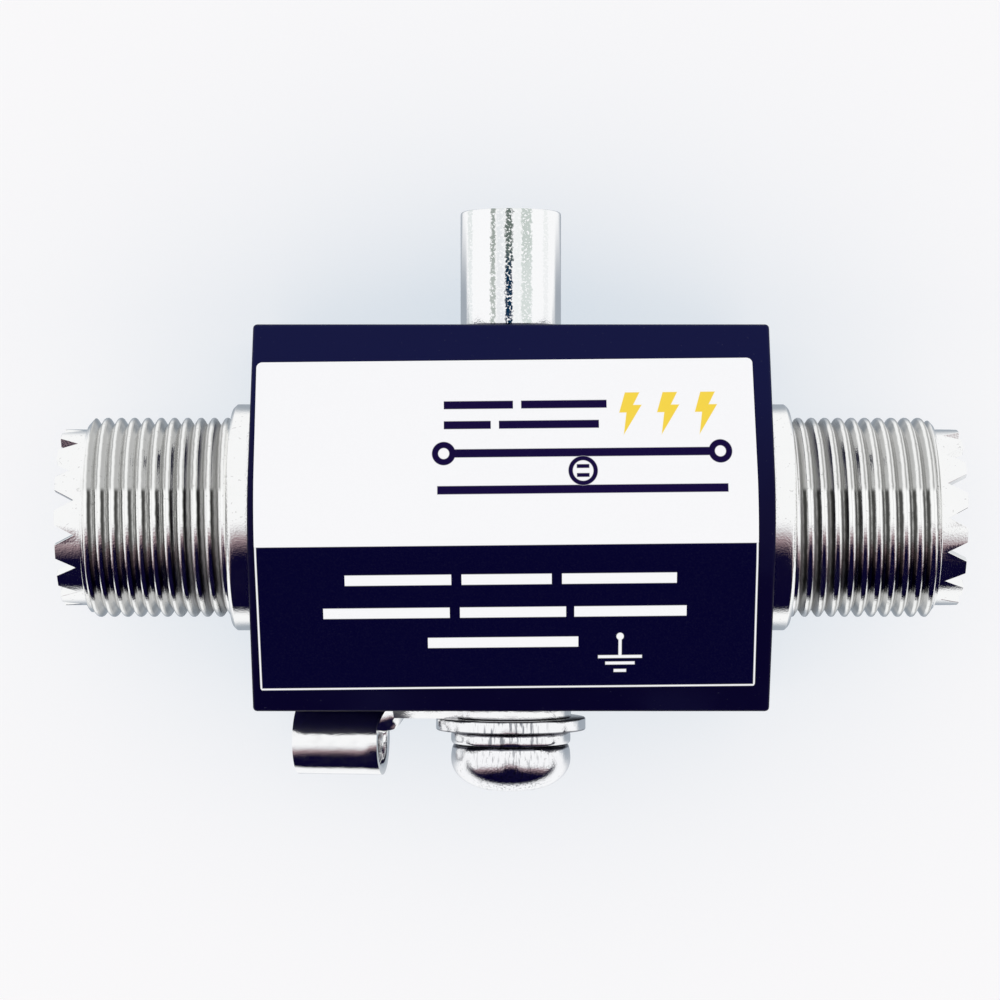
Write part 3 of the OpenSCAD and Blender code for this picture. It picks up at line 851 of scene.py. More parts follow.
@dataclass(frozen=True)
class PrintedFilm(Finish):
    """Printed film, white over navy, with bars, symbols and a small circuit diagram.

    Places are millimetres in the film's own frame: its centre at the origin, U along it, V up it.
    """

    centre: tuple[float, float] = (-0.4, -0.45)
    skew: float = 0.57
    scale: float = 0.996
    division: float = -1.59
    white: Colour = tint(248, 248, 250)
    navy: Colour = tint(2, 0, 43)
    ink: Colour = tint(20, 8, 58)
    gold: Colour = tint(246, 214, 76)
    soft: float = 0.035
    bolt_pitch: float = 2.9
    bolt_at: tuple[float, float] = (12.5, 8.4)

    def box(self, u: Sock, v: Sock, low: Station, high: Station) -> Sock:
        """Mask of a rectangle."""
        du = abs(u - (low[0] + high[0]) / 2) - (high[0] - low[0]) / 2
        dv = abs(v - (low[1] + high[1]) / 2) - (high[1] - low[1]) / 2
        return du.most(dv).step(self.soft, -self.soft)

    def disc(self, u: Sock, v: Sock, at: Station, radius: float) -> Sock:
        """Mask of a round dot."""
        away = (u - at[0]).hypot(v - at[1])
        return away.step(radius + self.soft, radius - self.soft)

    def wedge(self, u: Sock, v: Sock, corners: Sequence[Station]) -> Sock:
        """Mask of a convex shape whose corners run clockwise."""
        inside = None
        for (u0, v0), (u1, v1) in zip(corners, [*corners[1:], corners[0]]):
            run, rise = u1 - u0, v1 - v0
            length = math.hypot(run, rise)
            side = u * (rise / length) - v * (run / length) + (v0 * run - u0 * rise) / length
            inside = side if inside is None else inside.least(side)
        return inside.step(-self.soft, self.soft)

    def bolts(self, u: Sock, v: Sock) -> Sock:
        """Mask of three equal lightning bolts in a row."""
        centre_u, centre_v = self.bolt_at
        turn = ((u - centre_u) * (1 / self.bolt_pitch)).math("ROUND")
        local = u - centre_u - turn * self.bolt_pitch
        lift = v - centre_v
        upper = [(-0.36, 1.62), (0.76, 1.62), (-0.06, 0.05), (-0.84, 0.05)]
        lower = [(-0.20, 0.64), (0.90, 0.64), (-0.53, -1.66)]
        shape = self.wedge(local, lift, upper).most(self.wedge(local, lift, lower))
        return shape * abs(turn).step(1.4, 1.2)

    def row(self, u: Sock, v: Sock, middle: float, height: float, words: Sequence[Station]) -> Sock:
        """Mask of a row of bars.

        Args:
            u: place along the film.
            v: place up the film.
            middle: the row's middle height.
            height: the bars' height.
            words: start and end of each bar.

        Returns:
            The mask.
        """
        reach = 20.0
        off, on = (0.0, 0.0, 0.0, 1.0), (1.0, 1.0, 1.0, 1.0)
        stops = [(0.0, off)]
        for start, end in words:
            stops += [((start + reach) / (2 * reach), on), ((end + reach) / (2 * reach), off)]
        bars = u.graph.node(
            "ValToRGB", {"stops": stops, "interpolation": "CONSTANT"}, {"Fac": u * (0.5 / reach) + 0.5}
        )
        return bars * (abs(v - middle) - height / 2).step(self.soft, -self.soft)

    def earth(self, u: Sock, v: Sock) -> Sock:
        """Mask of the earth symbol: a dot on a stem over three shrinking bars."""
        middle = 8.68
        mask = self.disc(u, v, (middle, -8.72), 0.28)
        mask = mask.most(self.box(u, v, (middle - 0.12, -10.3), (middle + 0.12, -8.8)))
        for half, height in ((1.69, -10.31), (1.13, -10.82), (0.48, -11.41)):
            low, high = height - 0.115, height + 0.115
            mask = mask.most(self.box(u, v, (middle - half, low), (middle + half, high)))
        return mask

    def circuit(self, u: Sock, v: Sock) -> Sock:
        """Mask of a diagram: a line between two sockets, joined to its screen by a tube."""
        line, screen, half = 5.42, 2.62, 0.32
        middle, radius = 5.9, 1.12
        at_v = (line + screen) / 2
        mask = self.box(u, v, (-4.0, line - half), (15.7, line + half))
        mask = mask.most(self.box(u, v, (-5.2, screen - half), (16.9, screen + half)))
        for at in (-4.7, 16.4):
            mask = mask.most(self.disc(u, v, (at, line), 0.90) * (1 - self.disc(u, v, (at, line), 0.42)))
        mask = mask.most(self.box(u, v, (middle - 0.24, screen), (middle + 0.24, line)))
        tube = self.disc(u, v, (middle, at_v), radius)
        mask = (mask * (1 - tube)).most(tube * (1 - self.disc(u, v, (middle, at_v), radius - 0.34)))
        for side in (-1, 1):
            plate = at_v + side * 0.34
            mask = mask.most(self.box(u, v, (middle - 0.48, plate - 0.15), (middle + 0.48, plate + 0.15)))
        return mask

    def inputs(self, graph: Graph, place: Sock) -> dict[str, object]:
        """What feeds the shader."""
        x, y, _ = graph.split(place)
        cos, sin = math.cos(math.radians(self.skew)), math.sin(math.radians(self.skew))
        dx, dy = x - self.centre[0], y - self.centre[1]
        u = (dx * cos + dy * sin) * (1 / self.scale)
        v = (dy * cos - dx * sin) * (1 / self.scale)

        lower = v.step(self.division + self.soft, self.division - self.soft)
        colour = graph.blend(lower, self.white, self.navy)
        dark = self.row(u, v, 9.15, 0.62, [(-4.7, 0.6), (1.2, 7.8)])
        dark = dark.most(self.row(u, v, 7.6, 0.62, [(-4.7, -1.2), (-0.5, 7.1)]))
        dark = dark.most(self.circuit(u, v))
        colour = graph.blend(dark, colour, self.ink)
        colour = graph.blend(self.bolts(u, v), colour, self.gold)
        light = self.earth(u, v)
        for middle, words in (
            (-4.2, [(-12.4, -4.3), (-3.5, 3.4), (4.2, 12.9)]),
            (-6.75, [(-14.1, -4.4), (-3.7, 4.4), (5.1, 13.7)]), (-9.1, [(-6.1, 5.4)]),
        ):
            light = light.most(self.row(u, v, middle, 0.8, words))
        outline = (abs(u) - 19.13).step(self.soft, -self.soft) * (v + 12.72).step(-self.soft, self.soft)
        inner = (abs(u) - 19.0).step(self.soft, -self.soft) * (v + 12.59).step(-self.soft, self.soft)
        light = light.most(outline * (1 - inner) * lower)
        colour = graph.blend(light, colour, self.white)

        grain = graph.noise(place, 9.0, 3)
        smear = graph.noise(place, 0.35, 3)
        colour = graph.blend(grain.step(0.4, 0.8) * 0.02, colour, tint(120, 122, 140))
        rough = 0.36 + smear * 0.15 + grain * 0.05
        normal = graph.bump(grain * 0.002 + smear * 0.02)
        return {"Base Color": colour, "Roughness": rough, "Specular IOR Level": 0.02, "Normal": normal}


# ---- the arrestor's parts ----


def towards_cap() -> Matrix:
    """From a piece made along Z to one that points at the cap from the coaxial axis."""
    return Matrix.Translation((0, 0, AXIS_Z)) @ turned_by(-90, "X")


def towards_ground() -> Matrix:
    """From a piece made along Z to one that points down from the ground terminal's face."""
    return Matrix.Translation((0, -HALF_HEIGHT, AXIS_Z)) @ turned_by(90, "X")


@dataclass
class GabledBlock:
    """The lacquered block and the film over its gabled front."""

    length: float = 40.0
    height: float = 30.0
    edge_depth: float = 19.0
    ridge_depth: float = 25.0
    ridge_radius: float = 9.0
    edge_break: float = 0.3
    line_bore: float = 5.0
    shank_radius: float = 6.78
    tube_bore: float = 3.1
    port_radius: float = 3.53
    screw_radius: float = 2.53
    film_size: tuple[float, float] = (38.15, 25.4)
    film_drop: float = 0.1
    film_thickness: float = 0.12
    film_corner: float = 0.45
    recess_start: float = 12.7
    port_start: float = 9.6
    screw_depth: float = 7.7

    def __post_init__(self) -> None:
        """Works out the slope that meets the round ridge, and the bevel profile that makes it round."""
        drop = self.ridge_radius - (self.ridge_depth - self.edge_depth)
        half = self.height / 2
        self.slope = math.asin(self.ridge_radius / math.hypot(half, drop)) - math.atan2(drop, half)
        self.roundness = (1 - 0.5 / (1 + math.cos(self.slope))) ** 2

    def gabled(self, raised: float) -> Workpiece:
        """The plain gabled block, its front raised by an amount.

        Args:
            raised: how far the gable lies outside the block's own.

        Returns:
            The block with a round ridge.
        """
        half_l, half_h = self.length / 2, self.height / 2
        edge = self.edge_depth + raised / math.cos(self.slope)
        apex = edge + half_h * math.tan(self.slope)
        piece = Workpiece.block((-half_l, -half_h, 0), (half_l, half_h, apex + 1))
        for side in (-1, 1):
            with piece.edit():
                bpy.ops.mesh.bisect(
                    plane_co=(0, side * half_h, edge),
                    plane_no=(0, side * math.sin(self.slope), math.cos(self.slope)), use_fill=True,
                    clear_outer=True,
                )
        with piece.edit(Pick.EDGE):
            piece.select(Pick.EDGE, lambda s: s.at.z > apex - 0.01 and abs(s.at.y) < 0.01)
            reach = (self.ridge_radius + raised) * math.tan(self.slope)
            bpy.ops.mesh.bevel(offset=reach, segments=20, profile=self.roundness)
        return piece.face_outwards()

    def block(self) -> Workpiece:
        """The block with its edges rounded and its bores cut."""
        piece = self.gabled(0.0).soften_edges(self.edge_break, segments=3)
        half_l, half_h = self.length / 2, self.height / 2
        tools = [Workpiece.rod(self.line_bore, -half_l, half_l).move(coaxial(90))]
        for side in (-1, 1):
            recess = Workpiece.rod(self.shank_radius, self.recess_start, half_l + 1)
            tools.append(recess.move(coaxial(90) @ Matrix.Rotation(0 if side > 0 else math.pi, 4, "X")))
        tools.append(Workpiece.rod(self.tube_bore, 0, half_h - 1).move(towards_cap()))
        tools.append(Workpiece.rod(self.port_radius, self.port_start, half_h + 1, FINE).move(towards_cap()))
        tools.append(Workpiece.rod(self.screw_radius, -self.screw_depth, 1).move(towards_ground()))
        return piece.cut(*tools)

    def film(self, look: PrintedFilm) -> Workpiece:
        """The film: the gable's skin, trimmed to a skewed rectangle and given its thickness."""
        piece = self.gabled(self.film_thickness)
        with piece.edit(Pick.FACE):
            piece.select(Pick.FACE, lambda s: s.normal.z < 0.5)
            bpy.ops.mesh.delete(type="FACE")
        turn = Matrix.Rotation(math.radians(look.skew), 3, "Z")
        centre = Vector((*look.centre, 0)) - turn @ Vector((0, self.film_drop, 0))
        for axis, size in ((Vector((1, 0, 0)), self.film_size[0]), (Vector((0, 1, 0)), self.film_size[1])):
            for side in (-1, 1):
                normal = turn @ axis * side
                with piece.edit():
                    bpy.ops.mesh.bisect(
                        plane_co=centre + normal * size / 2, plane_no=normal, clear_outer=True
                    )
        half_u, half_v = (s / 2 for s in self.film_size)
        corners = [centre + turn @ Vector((a * half_u, b * half_v, 0)) for a in (-1, 1) for b in (-1, 1)]
        with piece.edit():
            piece.select(Pick.VERT, lambda s: any((s.at.xy - c.xy).length < 0.05 for c in corners))
            bpy.ops.mesh.bevel(offset=self.film_corner, segments=5, affect="VERTICES")
        return piece.modify("SOLIDIFY", thickness=self.film_thickness * 0.98, offset=-1)

    def build(self) -> None:
        """Makes the block and its film."""
        # The second colour is the painted sheen on the side towards +Y.
        paint = Lacquer("Lacquer", tint(4, 0, 40), tint(11, 15, 61)).material()
        self.block().finish("Block", "block", ["housing"], "black_paint", paint)
        film = PrintedFilm("Printed_film")
        self.film(film).finish("Face_film", "block", ["face_label"], "printed_film", film.material())


@dataclass
class Connector:
    """A toothed, threaded shell, made for each end with that end's first tooth and crest."""

    bore: float = 5.75
    shank: float = 6.75
    shank_start: float = 13.0
    seat: float = 20.0
    flange: float = 9.0
    thread_start: float = 22.0
    thread_end: float = 33.4
    nose: float = 6.9975
    tip: float = 35.45
    mouth: float = 6.1475
    mouth_floor: float = 26.55
    lip: float = 4.6
    lip_back: float = 25.55
    teeth: int = 16
    tooth_height: float = 1.5
    tooth_land: float = 1.15
    tooth_break: float = 0.03
    edge_break: float = 0.07
    flange_break: float = 0.3
    thread_break: float = 0.45
    thread_major: float = 15.875
    thread_pitch: float = 25.4 / 24
    thread_depth: float = 0.58
    nickel: Colour = (0.96, 0.96, 0.95, 1.0)

    def shell(self, thread: Thread) -> tuple[Workpiece, Workpiece]:
        """The shell without its teeth: a turned body, and a threaded sleeve round it."""
        core = thread.major / 2 - thread.depth - 0.05
        outer = softened(
            [
                (self.bore, self.shank_start), (self.shank, self.shank_start), (self.shank, self.seat),
                (self.flange, self.seat), (self.flange, self.thread_start - self.flange_break),
                (self.flange - self.flange_break, self.thread_start), (core, self.thread_start),
                (core, self.thread_end - 0.1), (self.nose, self.thread_end - 0.1), (self.nose, self.tip),
                (self.mouth, self.tip), (self.mouth, self.mouth_floor), (self.lip, self.mouth_floor),
                (self.lip, self.lip_back), (self.bore, self.lip_back), (self.bore, self.shank_start),
            ],
            self.edge_break,
        )
        body = Workpiece.turned(outer)
        body.move(Matrix.Rotation(math.pi / FINE, 4, "Z"))
        major = thread.major / 2 + 0.001
        envelope = Workpiece.turned(
            [
                (core - 0.3, self.thread_start - 0.02), (major, self.thread_start - 0.02),
                (major, self.thread_end - self.thread_break),
                (major - self.thread_break - 0.05, self.thread_end), (core - 0.3, self.thread_end),
                (core - 0.3, self.thread_start - 0.02),
            ]
        )
        sleeve = Workpiece.threaded(thread, self.thread_start - 1, self.thread_end + 1)
        return body, sleeve.keep_inside(envelope)

    def cut_teeth(self, body: Workpiece, turn: float) -> Workpiece:
        """Cuts the V notches straight across the nose.

        Args:
            body: the turned body.
            turn: angle in degrees of the first notch.

        Returns:
            The body with its teeth.
        """
        root = self.tip - self.tooth_height
        notch = 2 * math.pi * self.nose / self.teeth - self.tooth_land
        reach = self.nose + 1
        over = 0.5
        half = notch / 2 * (1 + over / self.tooth_height)
        outline = [(root, 0), (self.tip + over, -half), (self.tip + over, half)]
        wedge = Workpiece.plate(outline, -reach, reach)
        for index in range(self.teeth // 2):
            across = turned_by(turn + index * 360 / self.teeth, "Z") @ turned_by(-90, "Y")
            body.cut(wedge.copy().move(across))
        wedge.scrap()
        return body

    def build(self) -> None:
        """Makes both connectors."""
        # Side, turn about Y, angle of the first notch, height of a crest, start of the painted highlight on
        # the bright flank
        ends = (("left", -90, 360 / self.teeth / 2, 23.336, -0.09), ("right", 90, 0.0, 23.644, -0.20))
        for side, turn, tooth_turn, crest, bright in ends:
            thread = Thread(self.thread_major, self.thread_pitch, self.thread_depth, crest)
            painted_shine_and_relief = ThreadPaintedShine(thread, self.thread_start, self.thread_end, side == "right", bright)
            look = TurnedMetal(
                f"Nickel_{side}", self.nickel, Axis.COAX, grain_depth=0.010, painted_shine_and_relief=painted_shine_and_relief
            ).material()
            body, sleeve = self.shell(thread)
            self.cut_teeth(body, tooth_turn).soften_edges(self.tooth_break, 1, 35)
            body.join(sleeve).move(coaxial(turn))
            name = f"{side.title()}_connector_body"
            body.finish(name, "block", [f"{side}_connector_shell"], "nickel_plate", look)


@dataclass
class ScrewCap:
    """The polished cap over the gas tube, with its threaded stem."""

    thread: float = 7.0
    thread_pitch: float = 0.75
    radius: float = 4.0
    stem_end: float = 9.8
    shoulder: float = 15.0
    top: float = 24.3
    bore: float = 2.35
    bore_depth: float = 10.0
    thread_depth: float = 0.4
    thread_sweep: tuple[float, float] = (9.0, 16.0)
    """Heights between which the thread is swept, before it is cut to its length."""
    edge_round: float = 0.28

    def build(self) -> None:
        """Makes the cap."""
        core = self.thread / 2 - self.thread_depth - 0.03
        bore_top = self.stem_end + self.bore_depth
        body = Workpiece.turned(
            softened(
                [
                    (0.05, bore_top), (self.bore, bore_top), (self.bore, self.stem_end),
                    (core, self.stem_end), (core, self.shoulder), (self.radius, self.shoulder),
                    (self.radius, self.top), (0.05, self.top),
                ],
                self.edge_round,
                5,
            )
        )
        thread = Thread(self.thread, self.thread_pitch, self.thread_depth)
        sleeve = Workpiece.threaded(thread, *self.thread_sweep, 64)
        sleeve.keep_inside(
            Workpiece.turned(
                [
                    (core - 0.2, self.stem_end), (core, self.stem_end),
                    (self.thread / 2, self.stem_end + 0.4), (self.thread / 2, self.shoulder - 0.5),
                    (core - 0.2, self.shoulder - 0.1), (core - 0.2, self.stem_end),
                ]
            )
        )
        look = PolishedCap("Polished_cap").material()
        body.join(sleeve).move(towards_cap())
        body.finish("Gas_tube_cap", "cap", ["gas_tube_cap"], "polished_cap", look)


@dataclass
class GroundStack:
    """The ground screw with its washers and the lug that it clamps."""

    screw: float = 5.0
    head: float = 9.5
    head_seat: float = 3.05
    seat_gap: float = 0.01
    head_height: float = 3.65
    reach: float = 6.948
    hole: float = 2.65
    flat_radius: float = 5.95
    flat_top: float = 1.9
    lug_thickness: float = 0.9
    lug_turn: float = -8.7
    tongue_half: float = 2.9
    barrel_radius: float = 2.8
    barrel_start: float = 10.35
    barrel_end: float = 17.2
    neck_start: float = 9.0
    barrel_drop: float = 0.05
    mouth_break: float = 0.38
    # Heights of the joints that get painted contact shade.
    seams: Sequence[float] = (-15.86, -16.93, -18.12)
    eye: float = 4.8
    split: float = 0.9
    split_turn: float = -130.0
    split_tilt: float = 25.0
    crown: float = 1.2
    rim: float = 1.15
    tuck: float = 0.25
    recess_half: tuple[float, float] = (2.45, 0.55)
    recess_depth: float = 2.3
    recess_foot: tuple[float, float] = (0.42, 0.7)
    """Shares of the recess's size that its foot has."""
    thread_pitch: float = 0.8
    thread_depth: float = 0.45
    core_depth: float = 0.42
    washer_break: float = 0.16
    spring_round: float = 0.42
    eye_break: float = 0.12
    sheet_break: float = 0.13
    plate: Colour = (0.95, 0.95, 0.96, 1.0)
    tin: Colour = (0.95, 0.95, 0.95, 1.0)

    def flat_washer(self) -> Workpiece:
        """The flat washer, its rims broken."""
        outline = ring_outline(self.hole, self.flat_radius, self.lug_thickness, self.flat_top)
        return Workpiece.turned(softened(outline, self.washer_break))

    def spring_washer(self) -> Workpiece:
        """The split spring washer, its rims well rounded."""
        low, high, outer = self.flat_top, self.head_seat - self.seat_gap, self.head / 2
        middle = (self.hole + outer) / 2
        rims = ring_outline(self.hole, outer, low, high)
        outline = [(middle, low), *rims[1:], (middle, low)]
        ring = Workpiece.turned(softened(outline, self.spring_round, 5))
        half, lift = self.split / 2, (low + high) / 2
        split = Workpiece.block((self.hole - 1, -half, low - 1), (outer + 1, half, high + 1))
        tilt = Matrix.Translation((0, 0, lift)) @ turned_by(self.split_tilt, "X")
        split.move(turned_by(self.split_turn, "Z") @ tilt @ Matrix.Translation((0, 0, -lift)))
        return ring.cut(split).soften_edges(0.05, 2, 50)

    def screw_piece(self) -> Workpiece:
        """The pan head screw with its cross recess and its thread."""
        seat, radius, top = self.head_seat, self.head / 2, self.head_seat + self.head_height
        core = self.screw / 2 - self.core_depth
        crown, rim, tuck = self.crown, self.rim, self.tuck
        outline = [(core, -self.reach), (core, seat), (radius - tuck, seat)]
        outline += [
            (radius - tuck * (1 - math.sin(a)), seat + rim * (1 - math.cos(a)))
            for a in (math.radians(15 * i) for i in range(1, 6))
        ]
        outline += [
            (crown + (radius - crown) * math.cos(a), seat + rim + (self.head_height - rim) * math.sin(a))
            for a in (math.radians(7.5 * i) for i in range(12))
        ]
        outline += [(crown, top), (0.05, top)]
        body = Workpiece.turned([(0.05, -self.reach), *outline])
        (half_x, half_y), foot = self.recess_half, top - self.recess_depth
        wing = Workpiece.block((-half_x, -half_y, foot), (half_x, half_y, top + 0.2))
        with wing.edit(Pick.FACE):
            wing.select(Pick.FACE, lambda s: s.normal.z < -0.5)
            bpy.ops.transform.resize(value=(*self.recess_foot, 1), center_override=(0, 0, foot))
        for angle in (45, 135):
            body.cut(wing.copy().move(turned_by(angle, "Z")))
        wing.scrap()
        body.soften_edges(0.06, 2, 45)
        thread = Thread(self.screw, self.thread_pitch, self.thread_depth)
        sleeve = Workpiece.threaded(thread, -self.reach - 1, seat + 0.5, 56).keep_inside(
            Workpiece.turned(
                [
                    (core - 0.3, -self.reach), (core + 0.05, -self.reach),
                    (self.screw / 2, -self.reach + 0.5), (self.screw / 2, seat - 0.3),
                    (core - 0.3, seat - 0.3), (core - 0.3, -self.reach),
                ],
                64,
            )
        )
        return body.join(sleeve)

    def lug(self) -> Workpiece:
        """The lug: a sheet rolled row by row from its flat tongue into its barrel."""
        middle = self.barrel_radius - self.lug_thickness / 2
        wrap = self.tongue_half / middle
        columns, neck_rows, barrel_rows = 24, 14, 6
        along = [1.0, 3.2, 5.4]
        neck = self.barrel_start - self.neck_start
        along += [self.neck_start + neck * i / neck_rows for i in range(neck_rows + 1)]
        span = self.barrel_end - self.barrel_start
        along += [self.barrel_start + span * i / barrel_rows for i in range(1, barrel_rows + 1)]

        def ease(u: float) -> float:
            """How far the sheet is rolled at a place along it."""
            t = min(max((u - self.neck_start) / neck, 0.0), 1.0)
            return t * t * (3 - 2 * t)

        def rolled(u: float, share: float) -> Vector:
            """Place of the sheet's middle surface at a share of its half width."""
            roll = ease(u)
            radius = middle / max(roll, 1e-3)
            angle = self.tongue_half * share / radius
            return Vector(
                (
                    u, radius * math.sin(angle),
                    self.lug_thickness / 2 + self.barrel_drop * roll + radius * (1 - math.cos(angle)),
                )
            )

        bpy.ops.mesh.primitive_grid_add(x_subdivisions=len(along) - 1, y_subdivisions=columns, size=2)
        sheet = Workpiece.started()
        for vertex in sheet.obj.data.vertices:
            row = round((vertex.co.x + 1) / 2 * (len(along) - 1))
            vertex.co = rolled(along[row], vertex.co.y)
        bpy.ops.mesh.primitive_grid_add(x_subdivisions=barrel_rows, y_subdivisions=32, size=2)
        back = Workpiece.started()
        centre = self.lug_thickness / 2 + self.barrel_drop + middle
        gap = math.radians(0.7)
        for vertex in back.obj.data.vertices:
            share = vertex.co.y
            angle = math.pi + share * (math.pi - wrap)
            if abs(share) < 1e-4:
                angle += gap
            u = self.barrel_start + span * (vertex.co.x + 1) / 2
            vertex.co = (u, middle * math.sin(angle), centre - middle * math.cos(angle))
        sheet.join(back)
        with sheet.edit():
            bpy.ops.mesh.remove_doubles(threshold=1e-3)
            bpy.ops.mesh.normals_make_consistent(inside=False)
        sheet.modify("SOLIDIFY", thickness=self.lug_thickness, offset=0)

        def on_mouth(s: Spot) -> bool:
            """Whether an edge runs round the inside of the barrel at one of its ends."""
            inside = math.hypot(s.at.y, s.at.z - centre) < self.barrel_radius - self.lug_thickness + 0.05
            open_side = math.atan2(abs(s.at.y), centre - s.at.z) > wrap + 0.1
            far_end = abs(s.at.x - self.barrel_end) < 0.02
            near_end = open_side and abs(s.at.x - self.barrel_start) < 0.02
            return inside and (far_end or near_end) and abs(s.normal.x) < 0.3

        with sheet.edit(Pick.EDGE):
            sheet.select(Pick.EDGE, on_mouth)
            bpy.ops.mesh.bevel(offset=self.mouth_break, segments=3)
        sheet.soften_edges(self.sheet_break, 3, 50)
        outline = ring_outline(self.hole, self.eye, 0.0, self.lug_thickness)
        eye = Workpiece.turned(softened(outline, self.eye_break))
        bore = Workpiece.rod(self.hole - 0.01, -1, 2, FINE)
        return sheet.cut(bore).join(eye)

    def build(self) -> None:
        """Makes the screw, its washers and the lug."""
        steel = TurnedMetal(
            "Plated_steel", self.plate, Axis.UPRIGHT, roughness=0.08, grain_depth=0.008, streaks=0.8,
            seams=self.seams,
        ).material()
        head = TurnedMetal(
            "Plated_screw", self.plate, Axis.UPRIGHT, ring_depth=0.001, grain_depth=0.015, streaks=0.6,
            seams=self.seams[-1:],
        ).material()
        down = towards_ground()
        self.screw_piece().move(down).finish(
            "Ground_screw", "screw", ["ground_screw"], "plated_steel", head
        )
        self.spring_washer().move(down).finish(
            "Spring_washer", "washers", ["spring_washer"], "plated_steel", steel
        )
        self.flat_washer().move(down).finish(
            "Flat_washer", "washers", ["flat_washer"], "plated_steel", steel
        )
        tin = PressedMetal("Tinned_sheet", self.tin).material()
        swing = turned_by(self.lug_turn, "Y") @ turned_by(90, "X")
        place = Matrix.Translation((0, -HALF_HEIGHT, AXIS_Z)) @ swing @ Matrix.Scale(-1, 4, (1, 0, 0))
        self.lug().move(place).finish("Ground_lug", "lug", ["ground_lug"], "tinned_copper", tin, 40)


@dataclass
class InnerParts:
    """Pieces inside the arrestor whose CAD shape is kept, each with its own finish."""

    bronze: Colour = (0.72, 0.52, 0.28, 1.0)
    brass: Colour = (0.75, 0.60, 0.30, 1.0)
    electrode: Colour = (0.7, 0.7, 0.72, 1.0)
    wire: Colour = (0.55, 0.56, 0.58, 1.0)

    def build(self) -> None:
        """Gives every kept CAD node its material."""
        contacts = ["left_centre_contact", "right_centre_contact"]
        contacts += ["left_retaining_ring", "right_retaining_ring"]
        electrodes = ["gas_tube_line_electrode", "gas_tube_cap_electrode"]
        looks = {
            TurnedMetal("Bronze_contact", self.bronze, Axis.COAX, roughness=0.2): contacts,
            TurnedMetal("Brass_rod", self.brass, Axis.COAX, roughness=0.25): ["line_conductor"],
            TurnedMetal("Brass_disc", self.brass, Axis.UPRIGHT, roughness=0.25): ["pressure_disc"],
            TurnedMetal("Tube_electrode", self.electrode, Axis.UPRIGHT, roughness=0.2): electrodes,
            TurnedMetal("Spring_wire", self.wire, Axis.UPRIGHT, roughness=0.25): ["contact_spring"],
            Moulded("White_insulator", tint(238, 236, 230)): ["left_insulator", "right_insulator"],
            Moulded("Alumina", tint(236, 234, 228), 0.3, 12.0): ["gas_tube_ceramic"],
        }
        for finish, nodes in looks.items():
            material = finish.material()
            for name in nodes:
                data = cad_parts[name].data
                data.materials.clear()
                data.materials.append(material)
            LOG.info("%s on %s", finish.name, ", ".join(nodes))


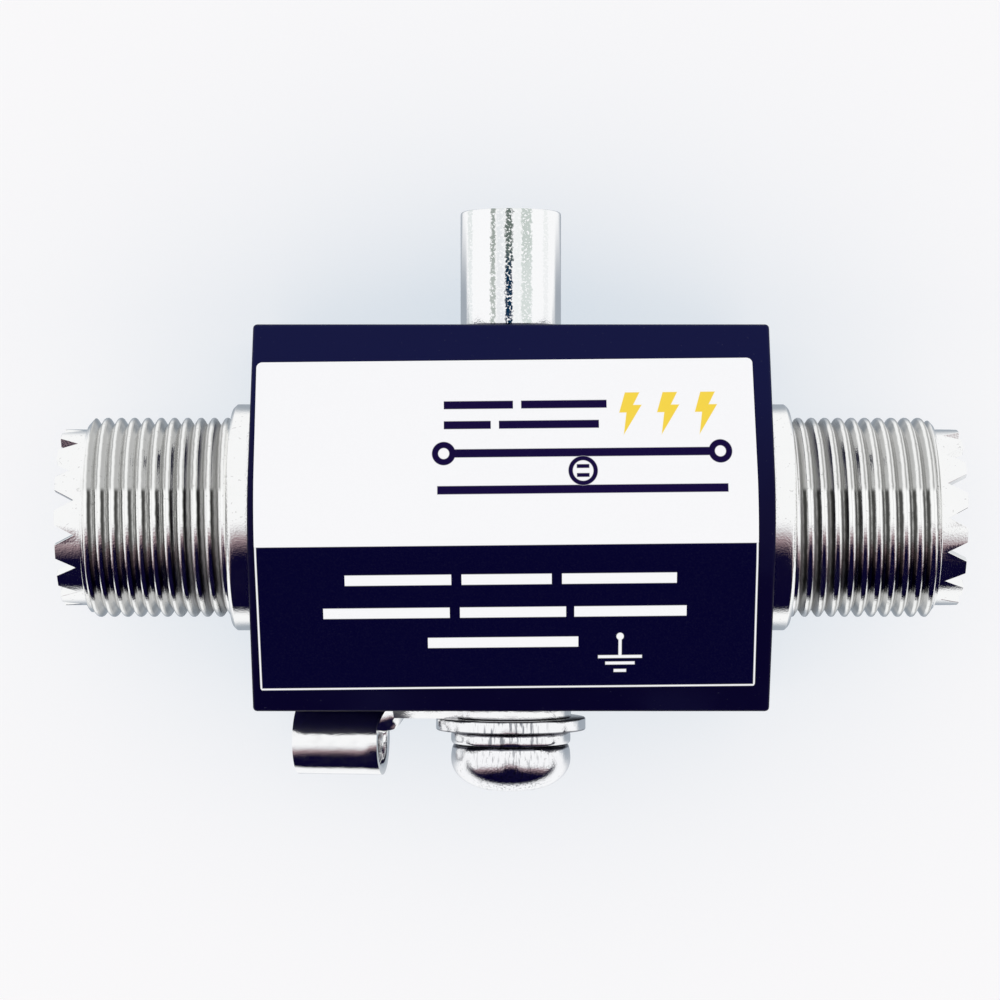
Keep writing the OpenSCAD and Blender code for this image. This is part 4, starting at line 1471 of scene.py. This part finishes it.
@dataclass
class Studio:
    """Pale floor, soft surroundings and the camera that looks straight down on the object."""

    camera_at: tuple[float, float, float] = (-0.86, 1.378, 258.0)
    looks_at: tuple[float, float, float] = (-0.86, 1.378, 12.0)
    lens: float = 111.1
    floor_size: float = 4000.0
    shade_reach: float = 13.0
    paper: Colour = (0.97, 0.975, 0.985, 1.0)
    night: Colour = (0.003, 0.002, 0.022, 1.0)
    shadow: Colour = (0.56, 0.42, 0.32, 1)
    glow: Colour = (0.40, 0.53, 0.64, 1)
    """What is added to the shadow, so that it never goes dark."""
    bright: Colour = (0.96, 0.95, 0.96, 1)
    gloss_shadow: Colour = (0.36, 0.40, 0.45, 1)
    # What gloss sees of the floor near the object: a painted shadow.
    """What gloss sees of the floor near the object."""
    backdrop: Colour = (0.955, 0.95, 0.96, 1)

    @staticmethod
    def beside(x: Sock, y: Sock, half: Station) -> Sock:
        """Distance in millimetres from a rectangle about the origin, 0 inside it."""
        return (abs(x) - half[0]).most(0.0).hypot((abs(y) - half[1]).most(0.0))

    def floor(self) -> None:
        """The floor, which shows the object's shadow; in gloss it shows a painted shadow, grey near the
        object, and a painted dark reflection far towards -Y.
        """
        bpy.ops.mesh.primitive_plane_add(size=self.floor_size * MM, location=(0, 0, -0.02 * MM))
        plane = bpy.context.object
        material = bpy.data.materials.new("Floor")
        graph = Graph(material)
        place = graph.place()
        grain = graph.noise(place, 0.02, 2)
        paper = graph.blend(grain * 0.3, tint(248, 248, 250), tint(244, 245, 249))
        real = graph.node("BsdfDiffuse", sockets={"Color": paper})
        shade = graph.node("BsdfDiffuse", sockets={"Color": self.shadow})
        shaded = graph.node("AddShader", sockets={0: shade, 1: graph.emission(self.glow)})
        bright = graph.emission(self.bright)
        x, y, _ = graph.split(place)
        # Painted light: below y = 9 mm up to 0.38 of the floor is plain glow, which weakens its shadow
        # there.
        seen = graph.mixed(y.step(19.0, 9.0) * 0.38, shaded, bright)
        rays = graph.node("LightPath", output="Is Camera Ray")
        direct = rays.most(rays.other("Is Transmission Ray"))
        beside = self.beside(x, y, (35.0, 8.0)).least(self.beside(x, y, (20.0, 15.0)))
        beside = beside.least(self.beside(x, y - 12.0, (4.0, 12.0)))
        # Painted shadow in gloss: the floor turns grey within reach of the object's outline.
        tone = graph.blend(beside.step(self.shade_reach, 3.0), self.paper, self.gloss_shadow)
        # Painted dark reflection: far towards -Y the floor shows dark in gloss.
        tone = graph.blend(y.step(-40.0, -70.0), tone, self.night)
        both = graph.mixed(direct, real, seen)
        both = graph.mixed(rays.other("Is Glossy Ray"), both, graph.emission(tone))
        graph.node("OutputMaterial", sockets={"Surface": both})
        plane.data.materials.append(material)
        plane.name = "Floor"

    def surroundings(self) -> None:
        """The world: plain white light, and for gloss a white room with its darker sides."""
        world = bpy.data.worlds.new("Studio")
        bpy.context.scene.world = world
        graph = Graph(world)
        x, y, _ = graph.split(graph.node("TexCoord", output="Generated"))
        rays = graph.node("LightPath", output="Is Glossy Ray")
        wide = abs(x)
        shifted = y + wide.step(0.16, 0.32) * 0.22
        stops = [(-1.0, self.night), (-0.60, self.night), (-0.50, (0.10, 0.07, 0.09, 1))]
        stops += [(-0.36, (0.36, 0.26, 0.28, 1)), (-0.22, (0.70, 0.69, 0.71, 1))]
        stops += [(-0.08, self.paper), (1.0, self.paper)]
        stops = [((v + 1) / 2, c) for v, c in stops]
        slope = graph.node("ValToRGB", {"stops": stops}, {"Fac": shifted * 0.5 + 0.5})
        room = graph.blend(wide.step(0.8, 0.92), slope, self.paper)
        colour = graph.blend(rays, (1, 1, 1, 1), room)
        colour = graph.blend(rays.other("Is Camera Ray"), colour, self.backdrop)
        shader = graph.node("Background", sockets={"Color": colour, "Strength": 1.0})
        graph.node("OutputWorld", sockets={"Surface": shader})

    def camera(self) -> None:
        """The camera at the photograph's place."""
        data = bpy.data.cameras.new("Camera")
        data.lens, data.sensor_width = self.lens, 36
        data.clip_start, data.clip_end = 0.01, 20
        camera = bpy.data.objects.new("Camera", data)
        bpy.context.collection.objects.link(camera)
        at, aim = Vector(self.camera_at) * MM, Vector(self.looks_at) * MM
        forward = (aim - at).normalized()
        right = forward.cross(Vector((0, 1, 0))).normalized()
        up = right.cross(forward)
        camera.matrix_world = Matrix.Translation(at) @ Matrix((right, up, -forward)).transposed().to_4x4()
        bpy.context.scene.camera = camera

    def build(self) -> None:
        """Makes the floor, the surroundings and the camera."""
        self.camera()
        self.floor()
        self.surroundings()
        bpy.context.scene.view_settings.view_transform = "Standard"


def main() -> None:
    """Builds the arrestor's parts in order, then the studio."""
    logging.basicConfig(level=logging.INFO, format="%(name)s: %(message)s")
    parts = (GabledBlock(), Connector(), ScrewCap(), GroundStack(), InnerParts())
    for part in parts:
        LOG.info("building %s", type(part).__name__)
        part.build()
    Studio().build()


if __name__ == "__main__":
    main()
